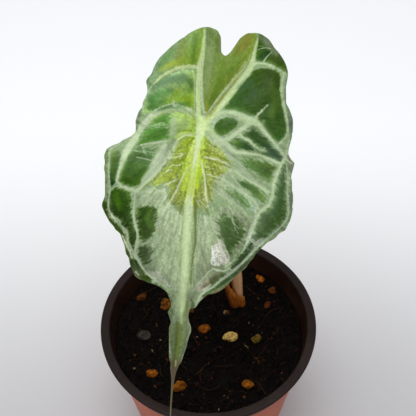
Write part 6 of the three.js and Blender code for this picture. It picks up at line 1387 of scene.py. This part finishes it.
def pot():
    outside = [(0, 0), (4, 0), (8, 0), (10.6, 0)] + arc(11.2, 0.9, 0.9, -90, -30, 3) + [(12.6, 1.7), (13.4, POT_RECESS)]
    outside += [(18, 2), (22, 2), (26, 2), (28.6, 2), (29.6, 1.7), (30.6, 0.35), (31.3, 0)]
    outside += [(33, 0), (36, 0)] + arc(outer_r(0) - 1.3, 1.1, 1.1, -90, -8, 5)
    outside += [(outer_r(z), z) for z in np.linspace(2.2, 87.0, 60)]
    outside += [(outer_r(92.4), 92.4)]
    split = len(outside) - 1
    inner = arc(outer_r(93.2) + 0.6, 93.2 - 0.0, 0.6, 180, 95, 3)
    inner += [(POT_RIM - 2.2, 93.8), (POT_SKIRT - 1.15, 92.6), (POT_SKIRT - 1.15, 89.5)]
    inner += arc(POT_SKIRT - 0.57, POT_H - POT_DROP + 0.5, 0.55, 180, 360, 6)
    inner += [(POT_SKIRT + 0.25, 90.2), (POT_SKIRT + 0.7, 91.8), (POT_RIM - 0.35, 93.2)]
    inner += arc(POT_RIM - 1.0, 94.0, 1.0, 0, 90, 6)
    inner += [(POT_RIM - 2.0, 95.0), (POT_RIM - 2.9, 95.0)]
    inner += arc(inner_r(94) + 1.0, 94.0, 1.0, 90, 172, 5)
    inner += [(inner_r(z), z) for z in np.linspace(92.6, 4.0, 50)]
    inner += arc(inner_r(1.2) - 1.6, 2.8, 1.6, 0, -90, 5)
    inner += [(32.4, 1.2), (31.6, 1.3), (30.0, 3.0), (29.0, 3.2), (22, 3.2), (13, 3.2), (11.8, 2.9), (10.4, 1.3), (9.6, 1.2), (0, 1.2)]
    profile = outside + inner
    segments = 192
    verts, faces, owner = lathe("pot", profile, segments)
    # a hand-warm thin wall is never quite round
    w = np.arctan2(verts[:, 1], verts[:, 0]); r = np.hypot(verts[:, 0], verts[:, 1])
    wave = 0.10 * np.sin(2 * w + 0.5) + 0.05 * np.sin(5 * w)
    k = 1 + wave * smooth((verts[:, 2] - 10) / 80) / np.maximum(r, 20)
    verts[:, 0] *= k; verts[:, 1] *= k
    ob = make("nursery_pot_look", verts, faces)
    idx = [0 if i < split else 1 for i in owner]
    ob.data.polygons.foreach_set("material_index", idx)
    put(ob, "around", w)
    # cut the holes
    for i in range(6):
        t = 2 * math.pi * (i + 0.5) / 6
        cv, cf, _ = lathe("hole", [(0, -1.4), (3.6, -1.4), (3.6, 6.6), (0, 6.6)], 40)
        off = 0.047 + 0.011 * i
        cv = cv @ np.array([[math.cos(off), math.sin(off), 0], [-math.sin(off), math.cos(off), 0], [0, 0, 1]])
        cutter = make("hole_%d" % i, cv + np.array([22 * math.cos(t), 22 * math.sin(t), 0]), cf, False)
        mod = ob.modifiers.new("hole", "BOOLEAN")
        mod.operation = "DIFFERENCE"; mod.solver = "EXACT"; mod.object = cutter
        bpy.context.view_layer.objects.active = ob
        bpy.ops.object.modifier_apply(modifier=mod.name)
        bpy.data.objects.remove(cutter, do_unlink=True)

    m = Nodes("terracotta_plastic")
    p = m.place()
    grain = m.noise(p, 900.0, 3.0, 0.6)
    cloud = m.noise(p, 38.0, 4.0, 0.55)
    rings = m.noise(m.scaled(p, (6.0, 6.0, 900.0)), 1.0, 2.0)
    c = m.mix(m.ramp(cloud, 0.35, 0.68), lin([172, 82, 54]), lin([194, 101, 68]))
    c = m.mix(m.math("MULTIPLY", m.ramp(m.noise(p, 150.0, 4.0, 0.7), 0.58, 0.74), 0.30), c, lin([140, 74, 52]))
    c = m.mix(m.math("MULTIPLY", m.ramp(rings, 0.55, 0.75), 0.12), c, lin([196, 130, 104]))
    n1 = m.bump(grain, 0.12, 0.00006)
    n2 = m.bump(rings, 0.10, 0.00010, n1)
    rough = m.math("ADD", m.math("MULTIPLY", cloud, 0.22), 0.36)
    ob.data.materials.append(m.done(c, rough, n2, Specular_IOR_Level=0.2))

    # Rim and inside of the pot: dark brown; inside the pot the dark is painted shade, standing for the shade that falls
    # there under the leaf.
    m = Nodes("pot_rim_and_shaded_inside")
    p = m.place()
    cloud = m.noise(p, 45.0, 4.0, 0.6)
    dust = m.noise(p, 260.0, 4.0, 0.7)
    scuff = m.noise(m.scaled(p, (40.0, 40.0, 900.0)), 1.0, 3.0, 0.6)
    c = m.mix(m.ramp(cloud, 0.34, 0.70), lin([30, 20, 17]), lin([42, 30, 26]))
    height = m.new("ShaderNodeSeparateXYZ"); m.join(p, height.inputs[0])
    wallside = m.ramp(height.outputs[2], 0.0935, 0.0925)
    c = m.mix(m.math("MULTIPLY", wallside, 0.8), c, m.mix(m.ramp(cloud, 0.4, 0.66), lin([34, 17, 9]), lin([50, 28, 16])))
    c = m.mix(m.math("MULTIPLY", m.ramp(dust, 0.58, 0.76), 0.22), c, lin([66, 52, 44]))
    c = m.mix(m.math("MULTIPLY", m.ramp(scuff, 0.62, 0.76), 0.12), c, lin([70, 58, 52]))
    n1 = m.bump(dust, 0.12, 0.00012)
    rough = m.math("ADD", m.math("MULTIPLY", dust, 0.3), 0.36)
    ob.data.materials.append(m.done(c, rough, n1, Specular_IOR_Level=0.14))
    return settle(ob, nodes=["nursery_pot"])


pot_ob = pot()


# ---------------------------------------------------------------------- soil
def clods(x, y):
    """Height of the mix's surface over its mean level (mm)."""
    h = 0.9 * fbm(x * 0.055, y * 0.055, octaves=2, seed=71)
    h += 0.75 * fbm(x * 0.24, y * 0.24, octaves=3, seed=72)
    lumps = noise(x * 0.55, y * 0.55, seed=73)
    h += 0.55 * np.maximum(lumps, 0) ** 0.7 - 0.35 * np.maximum(-lumps, 0)
    h += 0.22 * noise(x * 1.4, y * 1.4, seed=74)
    r = np.hypot(x, y)
    h += 0.9 * smooth((r - 43) / 7) * (0.4 + 0.6 * noise(np.arctan2(y, x) * 5, 0.0, seed=75))
    stem = np.hypot(x - 15.9, y - 20.9)
    h += 1.3 * np.exp(-((stem - 7) / 6) ** 2)
    return h


def soil():
    segs, rings = 288, 118
    top_r = inner_r(SOIL) - 0.25
    profile = [(0, 1.5), (10, 1.5), (11.6, 3.5), (30.4, 3.5), (32.1, 1.5), (inner_r(1.5) - 1.3, 1.5), (inner_r(2.6) - 0.25, 2.6)]
    profile += [(inner_r(z) - 0.25, z) for z in np.linspace(6, SOIL - 3, 20)]
    low = len(profile)
    profile += [(top_r * k / rings, SOIL) for k in range(rings, -1, -1)]
    verts, faces, _ = lathe("soil", profile, segs)
    top = verts[:, 2] > SOIL - 0.5
    x, y = verts[top, 0], verts[top, 1]
    jit = 0.16
    verts[top, 2] += clods(x, y)
    inner = np.hypot(x, y) < top_r - 1
    vx, vy = x.copy(), y.copy()
    vx[inner] += jit * noise(x[inner] * 2.3, y[inner] * 2.3, seed=76)
    vy[inner] += jit * noise(x[inner] * 2.3, y[inner] * 2.3, seed=77)
    verts[top, 0], verts[top, 1] = vx, vy
    ob = make("potting_soil_look", verts, faces)
    m = Nodes("soil")
    p = m.place()
    big = m.noise(p, 160.0, 5.0, 0.65)
    small = m.noise(p, 700.0, 4.0, 0.7)
    cells = m.voronoi(p, 480.0)
    # Near-black browns: partly the mix's own dark colour, partly painted shade standing for the shade inside the pot
    # and under the leaf.
    c = m.mix(m.ramp(big, 0.34, 0.66), lin([5, 3, 2]), lin([13, 8, 5]))
    c = m.mix(m.math("MULTIPLY", m.ramp(small, 0.58, 0.72), 0.5), c, lin([44, 24, 13]))
    c = m.mix(m.math("MULTIPLY", m.ramp(m.noise(p, 330.0, 2.0), 0.68, 0.78), 0.6), c, lin([80, 44, 20]))
    n1 = m.bump(small, 0.8, 0.0010)
    n2 = m.bump(cells, 0.5, 0.0008, n1)
    ob.data.materials.append(m.done(c, m.math("ADD", m.math("MULTIPLY", small, 0.3), 0.58), n2, Specular_IOR_Level=0.07))
    return settle(ob, nodes=["potting_soil"])


soil_ob = soil()


def lump_mesh(level):
    """Unit ball as vertices and faces."""
    bm_verts, bm_faces = ICO[level]
    return bm_verts.copy(), bm_faces


def ico(level):
    t = (1 + 5 ** 0.5) / 2
    v = [(-1, t, 0), (1, t, 0), (-1, -t, 0), (1, -t, 0), (0, -1, t), (0, 1, t), (0, -1, -t), (0, 1, -t),
         (t, 0, -1), (t, 0, 1), (-t, 0, -1), (-t, 0, 1)]
    v = [np.array(p) / np.linalg.norm(p) for p in v]
    f = [(0, 11, 5), (0, 5, 1), (0, 1, 7), (0, 7, 10), (0, 10, 11), (1, 5, 9), (5, 11, 4), (11, 10, 2), (10, 7, 6),
         (7, 1, 8), (3, 9, 4), (3, 4, 2), (3, 2, 6), (3, 6, 8), (3, 8, 9), (4, 9, 5), (2, 4, 11), (6, 2, 10), (8, 6, 7), (9, 8, 1)]
    for _ in range(level):
        mid, nf = {}, []

        def half(i, j):
            key = (min(i, j), max(i, j))
            if key not in mid:
                q = v[i] + v[j]
                mid[key] = len(v)
                v.append(q / np.linalg.norm(q))
            return mid[key]
        for i, j, k in f:
            p, q, r = half(i, j), half(j, k), half(k, i)
            nf += [(i, p, r), (j, q, p), (k, r, q), (p, q, r)]
        f = nf
    return np.array(v), np.array(f)


ICO = {k: ico(k) for k in (0, 1, 2, 3, 4)}


def chip_shape(level, half, seed, facets=7):
    """A broken, slightly flat-sided lump."""
    v, f = lump_mesh(level)
    rng = np.random.default_rng(seed)
    d = np.ones(len(v))
    for _ in range(facets):
        n = rng.normal(size=3); n /= np.linalg.norm(n)
        cut = rng.uniform(0.62, 0.92)
        h = v @ n
        d = np.minimum(d, np.where(h > 1e-3, cut / np.maximum(h, 1e-3), 9))
    d = np.minimum(d, 1.0)
    d *= 1 + 0.10 * fbm(v[:, 0] * 2.2 + seed, v[:, 1] * 2.2, v[:, 2] * 2.2, 3, seed)
    v = v * d[:, None] * np.array(half)
    return v, f


def turn_matrix(rng, flat=0.5):
    q = rng.normal(size=4); q[0] += 2.2 * flat; q /= np.linalg.norm(q)
    w, x, y, z = q
    return np.array([[1 - 2 * (y * y + z * z), 2 * (x * y - z * w), 2 * (x * z + y * w)],
                     [2 * (x * y + z * w), 1 - 2 * (x * x + z * z), 2 * (y * z - x * w)],
                     [2 * (x * z - y * w), 2 * (y * z + x * w), 1 - 2 * (x * x + y * y)]])


CHIPS = [
    ("perlite_01", 11.1, -1.7, 0.9, (4.2, 2.9, 2.4), 8),
    ("bark_chip_01", 24.5, -2.9, 0.8, (3.0, 2.2, 1.9), 30),
    ("bark_chip_02", 29.0, 34.5, 0.8, (3.2, 2.0, 1.8), -50),
    ("bark_chip_03", -2.3, 3.7, 0.9, (3.3, 2.6, 2.0), 15),
    ("bark_chip_04", -22.4, 19.7, 0.8, (4.0, 3.0, 2.2), 70),
    ("bark_chip_05", -29.0, -21.9, 0.8, (3.2, 2.4, 1.9), -20),
    ("bark_chip_06", -14.8, -29.2, 0.9, (4.4, 2.8, 2.2), 35),
    ("bark_chip_07", 19.3, -29.4, 0.8, (3.6, 2.5, 2.0), -35),
    ("bark_chip_08", 35.0, 27.0, 0.8, (2.8, 2.2, 1.8), 10),
    ("bark_chip_09", 31.5, 18.0, 0.7, (3.0, 1.9, 1.7), 60),
    ("bark_chip_10", -9.4, 15.8, 0.8, (2.9, 2.1, 1.7), -65),
    ("bark_chip_11", -35.5, 24.5, 0.7, (3.4, 2.2, 1.8), 25),
    ("bark_chip_12", -33.7, 0.4, 0.9, (3.8, 2.9, 2.1), -10),
]
# display colours, light and dark, of each lump
CHIP_COLOURS = {
    "perlite_01": ([232, 196, 112], [160, 116, 54]), "bark_chip_01": ([128, 102, 38], [70, 48, 16]),
    "bark_chip_02": ([186, 104, 20], [104, 50, 10]), "bark_chip_03": ([160, 88, 20], [86, 42, 10]),
    "bark_chip_04": ([124, 74, 16], [62, 34, 8]), "bark_chip_05": ([156, 88, 14], [82, 42, 8]),
    "bark_chip_06": ([150, 86, 14], [80, 42, 8]), "bark_chip_07": ([158, 92, 16], [86, 46, 10]),
    "bark_chip_08": ([108, 54, 18], [58, 28, 10]), "bark_chip_09": ([98, 46, 16], [52, 24, 10]),
    "bark_chip_10": ([96, 54, 16], [50, 26, 8]), "bark_chip_11": ([98, 54, 14], [52, 28, 8]),
    "bark_chip_12": ([66, 60, 52], [36, 31, 26]),
}


def bark_material(name, light, dark, pores):
    m = Nodes(name)
    p = m.place()
    big = m.noise(p, 520.0, 4.0, 0.65)
    lines = m.noise(m.scaled(p, (1.0, 0.25, 1.6)), 1500.0, 3.0, 0.6)
    c = m.mix(m.ramp(big, 0.34, 0.64), lin(dark), lin(light))
    c = m.mix(m.math("MULTIPLY", m.ramp(lines, 0.52, 0.68), 0.45), c, lin([int(v * 0.55) for v in dark]))
    pits = m.voronoi(p, 1400.0 if pores else 900.0)
    if pores:
        c = m.mix(m.math("MULTIPLY", m.ramp(pits, 0.30, 0.05), 0.5), c, lin([int(v * 0.6) for v in dark]))
    n1 = m.bump(lines, 0.6, 0.0004)
    n2 = m.bump(pits, 0.6, 0.0004, n1)
    return m.done(c, 0.82, n2, Specular_IOR_Level=0.08)


for k, (name, x, y, rise, half, turn) in enumerate(CHIPS):
    v, f = chip_shape(4, half, 100 + k, 6 if name[0] == "p" else 9)
    t = math.radians(turn)
    rot = np.array([[math.cos(t), -math.sin(t), 0], [math.sin(t), math.cos(t), 0], [0, 0, 1]])
    base = SOIL + rise
    v = v @ rot.T + np.array([x, y, base])
    chip = make(name + "_look", v, f)
    light, dark = CHIP_COLOURS[name]
    chip.data.materials.append(bark_material(name + "_skin", light, dark, name[0] == "p"))
    settle(chip, nodes=[name])


def granules():
    """The loose crumbs, splinters and fibres of the mix, lying in its surface."""
    rng = np.random.default_rng(7)
    verts, faces, tints = [], [], []
    base = 0
    limit = inner_r(SOIL) - 1.6
    for i in range(1880):
        r = limit * math.sqrt(rng.uniform(0, 1)); w = rng.uniform(0, 2 * math.pi)
        x, y = r * math.cos(w), r * math.sin(w)
        size = 0.35 + 1.5 * rng.beta(1.3, 4.2)
        if math.hypot(x - 15.9, y - 20.9) < 6.4 + size:
            continue
        long = rng.uniform(0.9, 2.3) if rng.uniform() < 0.4 else rng.uniform(0.8, 1.3)
        half = (size * long, size * rng.uniform(0.6, 1.0), size * rng.uniform(0.4, 0.8))
        v, f = chip_shape(1 if size < 1.1 else 2, half, 1000 + i, 6)
        v = v @ turn_matrix(rng, 0.8).T
        z = SOIL + float(clods(np.array(x), np.array(y))) + size * rng.uniform(-0.15, 0.35)
        v = v + np.array([x, y, z])
        rr = np.hypot(v[:, 0], v[:, 1])
        lim = inner_r(SOIL) - 0.2
        over = rr > lim
        v[over, :2] *= (lim / rr[over])[:, None]
        verts.append(v); faces.append(f + base); base += len(v)
        # Most crumbs are near black: partly the mix's own colour, partly painted shade like the soil they lie in.
        roll = rng.uniform()
        if roll < 0.86:
            c = np.array([11, 7, 5]) * rng.uniform(0.6, 1.7)
        elif roll < 0.955:
            c = np.array([52, 27, 13]) * rng.uniform(0.6, 1.3)
        elif roll < 0.985:
            c = np.array([92, 52, 22]) * rng.uniform(0.7, 1.2)
        else:
            c = np.array([150, 128, 92]) * rng.uniform(0.6, 1.0)
        tints.append(np.repeat([lin(np.clip(c, 3, 250))], len(v), 0))
    ob = make("soil_crumbs", np.vstack(verts), np.vstack(faces))
    put(ob, "tint", np.vstack(tints), "FLOAT_COLOR")
    m = Nodes("crumbs")
    p = m.place()
    c = m.mix(m.ramp(m.noise(p, 900.0, 4.0, 0.65), 0.35, 0.65), m.mix(1.0, m.attr("tint", "Color"), (0.55, 0.5, 0.45), "MULTIPLY"), m.attr("tint", "Color"))
    grain = m.noise(p, 1600.0, 3.0, 0.6)
    ob.data.materials.append(m.done(c, m.math("ADD", m.math("MULTIPLY", grain, 0.3), 0.55), m.bump(grain, 0.6, 0.0003), Specular_IOR_Level=0.07))
    settle(ob)

    verts, faces, tints, base = [], [], [], 0
    for i in range(90):
        r = (limit - 3) * math.sqrt(rng.uniform(0, 1)); w = rng.uniform(0, 2 * math.pi)
        x, y = r * math.cos(w), r * math.sin(w)
        if math.hypot(x - 15.9, y - 20.9) < 9:
            continue
        d = rng.uniform(0, 2 * math.pi); length = rng.uniform(3, 13); bend = rng.uniform(-0.16, 0.16)
        pts = []
        for s in np.linspace(0, 1, 7):
            px = x + length * s * math.cos(d + bend * 6 * s); py = y + length * s * math.sin(d + bend * 6 * s)
            rr = math.hypot(px, py)
            if rr > limit:
                px, py = px * limit / rr, py * limit / rr
            pz = SOIL + float(clods(np.array(px), np.array(py))) + 0.35 + 0.5 * math.sin(math.pi * s)
            pts.append((px, py, pz))
        path = open_curve(pts, 3)
        t, u, v = frames(path)
        sides = 5
        rad = rng.uniform(0.12, 0.32)
        n = len(path)
        for k in range(n):
            rk = rad * (1 - 0.5 * abs(2 * k / (n - 1) - 1) ** 3)
            for j in range(sides):
                ww = 2 * math.pi * j / sides
                verts.append(path[k] + rk * (math.cos(ww) * u[k] + math.sin(ww) * v[k]))
        for k in range(n - 1):
            for j in range(sides):
                a0, a1 = base + k * sides + j, base + k * sides + (j + 1) % sides
                faces.append((a0, a1, a1 + sides, a0 + sides))
        faces.append(tuple(base + j for j in range(sides))[::-1])
        faces.append(tuple(base + (n - 1) * sides + j for j in range(sides)))
        c = np.array([46, 28, 15]) * rng.uniform(0.3, 1.4)
        tints += [lin(np.clip(c, 3, 250))] * (n * sides)
        base += n * sides
    ob = make("soil_fibres", np.array(verts), faces)
    put(ob, "tint", np.array(tints), "FLOAT_COLOR")
    m = Nodes("fibres")
    g = m.noise(m.place(), 1200.0, 3.0, 0.6)
    c = m.mix(m.ramp(g, 0.35, 0.65), m.mix(1.0, m.attr("tint", "Color"), (0.5, 0.45, 0.4), "MULTIPLY"), m.attr("tint", "Color"))
    ob.data.materials.append(m.done(c, 0.7, m.bump(g, 0.5, 0.0002), Specular_IOR_Level=0.1))
    settle(ob)


granules()

# the corm stays as the CAD node, with a rough brown skin
m = Nodes("corm_skin")
p = m.place()
big = m.noise(p, 220.0, 4.0, 0.65)
bands = m.noise(m.scaled(p, (60.0, 60.0, 700.0)), 1.0, 3.0, 0.6)
c = m.mix(m.ramp(big, 0.35, 0.65), lin([84, 54, 34]), lin([132, 94, 60]))
c = m.mix(m.math("MULTIPLY", m.ramp(bands, 0.5, 0.7), 0.5), c, lin([62, 38, 24]))
corm = NODES["corm_with_roots"]
corm.data.materials.clear()
corm.data.materials.append(m.done(c, 0.75, m.bump(bands, 0.6, 0.0006), Specular_IOR_Level=0.3))

# --------------------------------------------------------- stage and lights
def stage():
    verts, faces = [], []
    xs = np.linspace(-1600, 1600, 3)
    prof = [(-1400, -0.15), (900, -0.15)]
    for k in range(1, 13):
        t = math.radians(90 * k / 12)
        prof.append((900 + 500 * math.sin(t), 500 * (1 - math.cos(t)) - 0.15))
    prof.append((1400, 1900))
    for y, z in prof:
        for x in xs:
            verts.append((x, y, z))
    for i in range(len(prof) - 1):
        for j in range(len(xs) - 1):
            a0 = i * len(xs) + j
            faces.append((a0, a0 + 1, a0 + len(xs) + 1, a0 + len(xs)))
    ob = make("floor", np.array(verts), faces)
    m = Nodes("floor")
    p = m.place()
    g = m.noise(p, 3.0, 3.0)
    xyz = m.new("ShaderNodeSeparateXYZ"); m.join(p, xyz.inputs[0])
    # Painted shade: the floor is painted darker towards the front, near the pot, standing in for the light's falloff
    # and the shade around the pot; further back it is near white.
    floor_painted_falloff = m.ramp(xyz.outputs[1], -0.06, 0.24)
    c = m.mix(floor_painted_falloff, (0.50, 0.50, 0.515), (0.97, 0.98, 0.995))
    c = m.mix(m.math("MULTIPLY", g, 0.05), c, (0.84, 0.85, 0.87))
    ob.data.materials.append(m.done(c, 0.85, Specular_IOR_Level=0.1))


stage()


def area(name, at, aim, size, power, colour=(1, 1, 1)):
    light = bpy.data.lights.new(name, "AREA")
    light.shape = "DISK"
    light.size = size
    light.energy = power
    light.color = colour
    ob = bpy.data.objects.new(name, light)
    bpy.context.scene.collection.objects.link(ob)
    ob.location = at
    ob.rotation_euler = (Vector(aim) - Vector(at)).to_track_quat("-Z", "Y").to_euler()
    return ob


world = bpy.data.worlds.new("studio")
bpy.context.scene.world = world
world.use_nodes = True
world.node_tree.nodes["Background"].inputs[0].default_value = (0.96, 0.98, 1.0, 1.0)
world.node_tree.nodes["Background"].inputs[1].default_value = 0.56
area("key", (-0.08, -0.10, 1.05), (0.0, 0.05, 0.1), 0.7, 6.5, (1.0, 0.995, 0.985))

scene = bpy.context.scene
scene.view_settings.view_transform = "Standard"
scene.view_settings.look = "None"
scene.view_settings.exposure = 0.0
scene.view_settings.gamma = 1.0

# -------------------------------------------------------------------- camera
EL, ROLL = math.radians(51.383), math.radians(1.098)
fwd = Vector((0, math.cos(EL), -math.sin(EL)))
rgt = Vector((1, 0, 0))
upv = rgt.cross(fwd)
cx = rgt * math.cos(ROLL) - upv * math.sin(ROLL)
cy = rgt * math.sin(ROLL) + upv * math.cos(ROLL)
cam_data = bpy.data.cameras.new("camera")
cam_data.sensor_width = 36.0
cam_data.lens = 18.0 / math.tan(math.radians(12.5))
cam_data.clip_start = 0.01
cam_data.clip_end = 20
cam = bpy.data.objects.new("camera", cam_data)
scene.collection.objects.link(cam)
mat = Matrix((cx, cy, -fwd)).transposed().to_4x4()
mat.translation = Vector((0.95, -253.56, 506.08)) * MM
cam.matrix_world = mat
scene.camera = cam

bpy.context.view_layer.update()
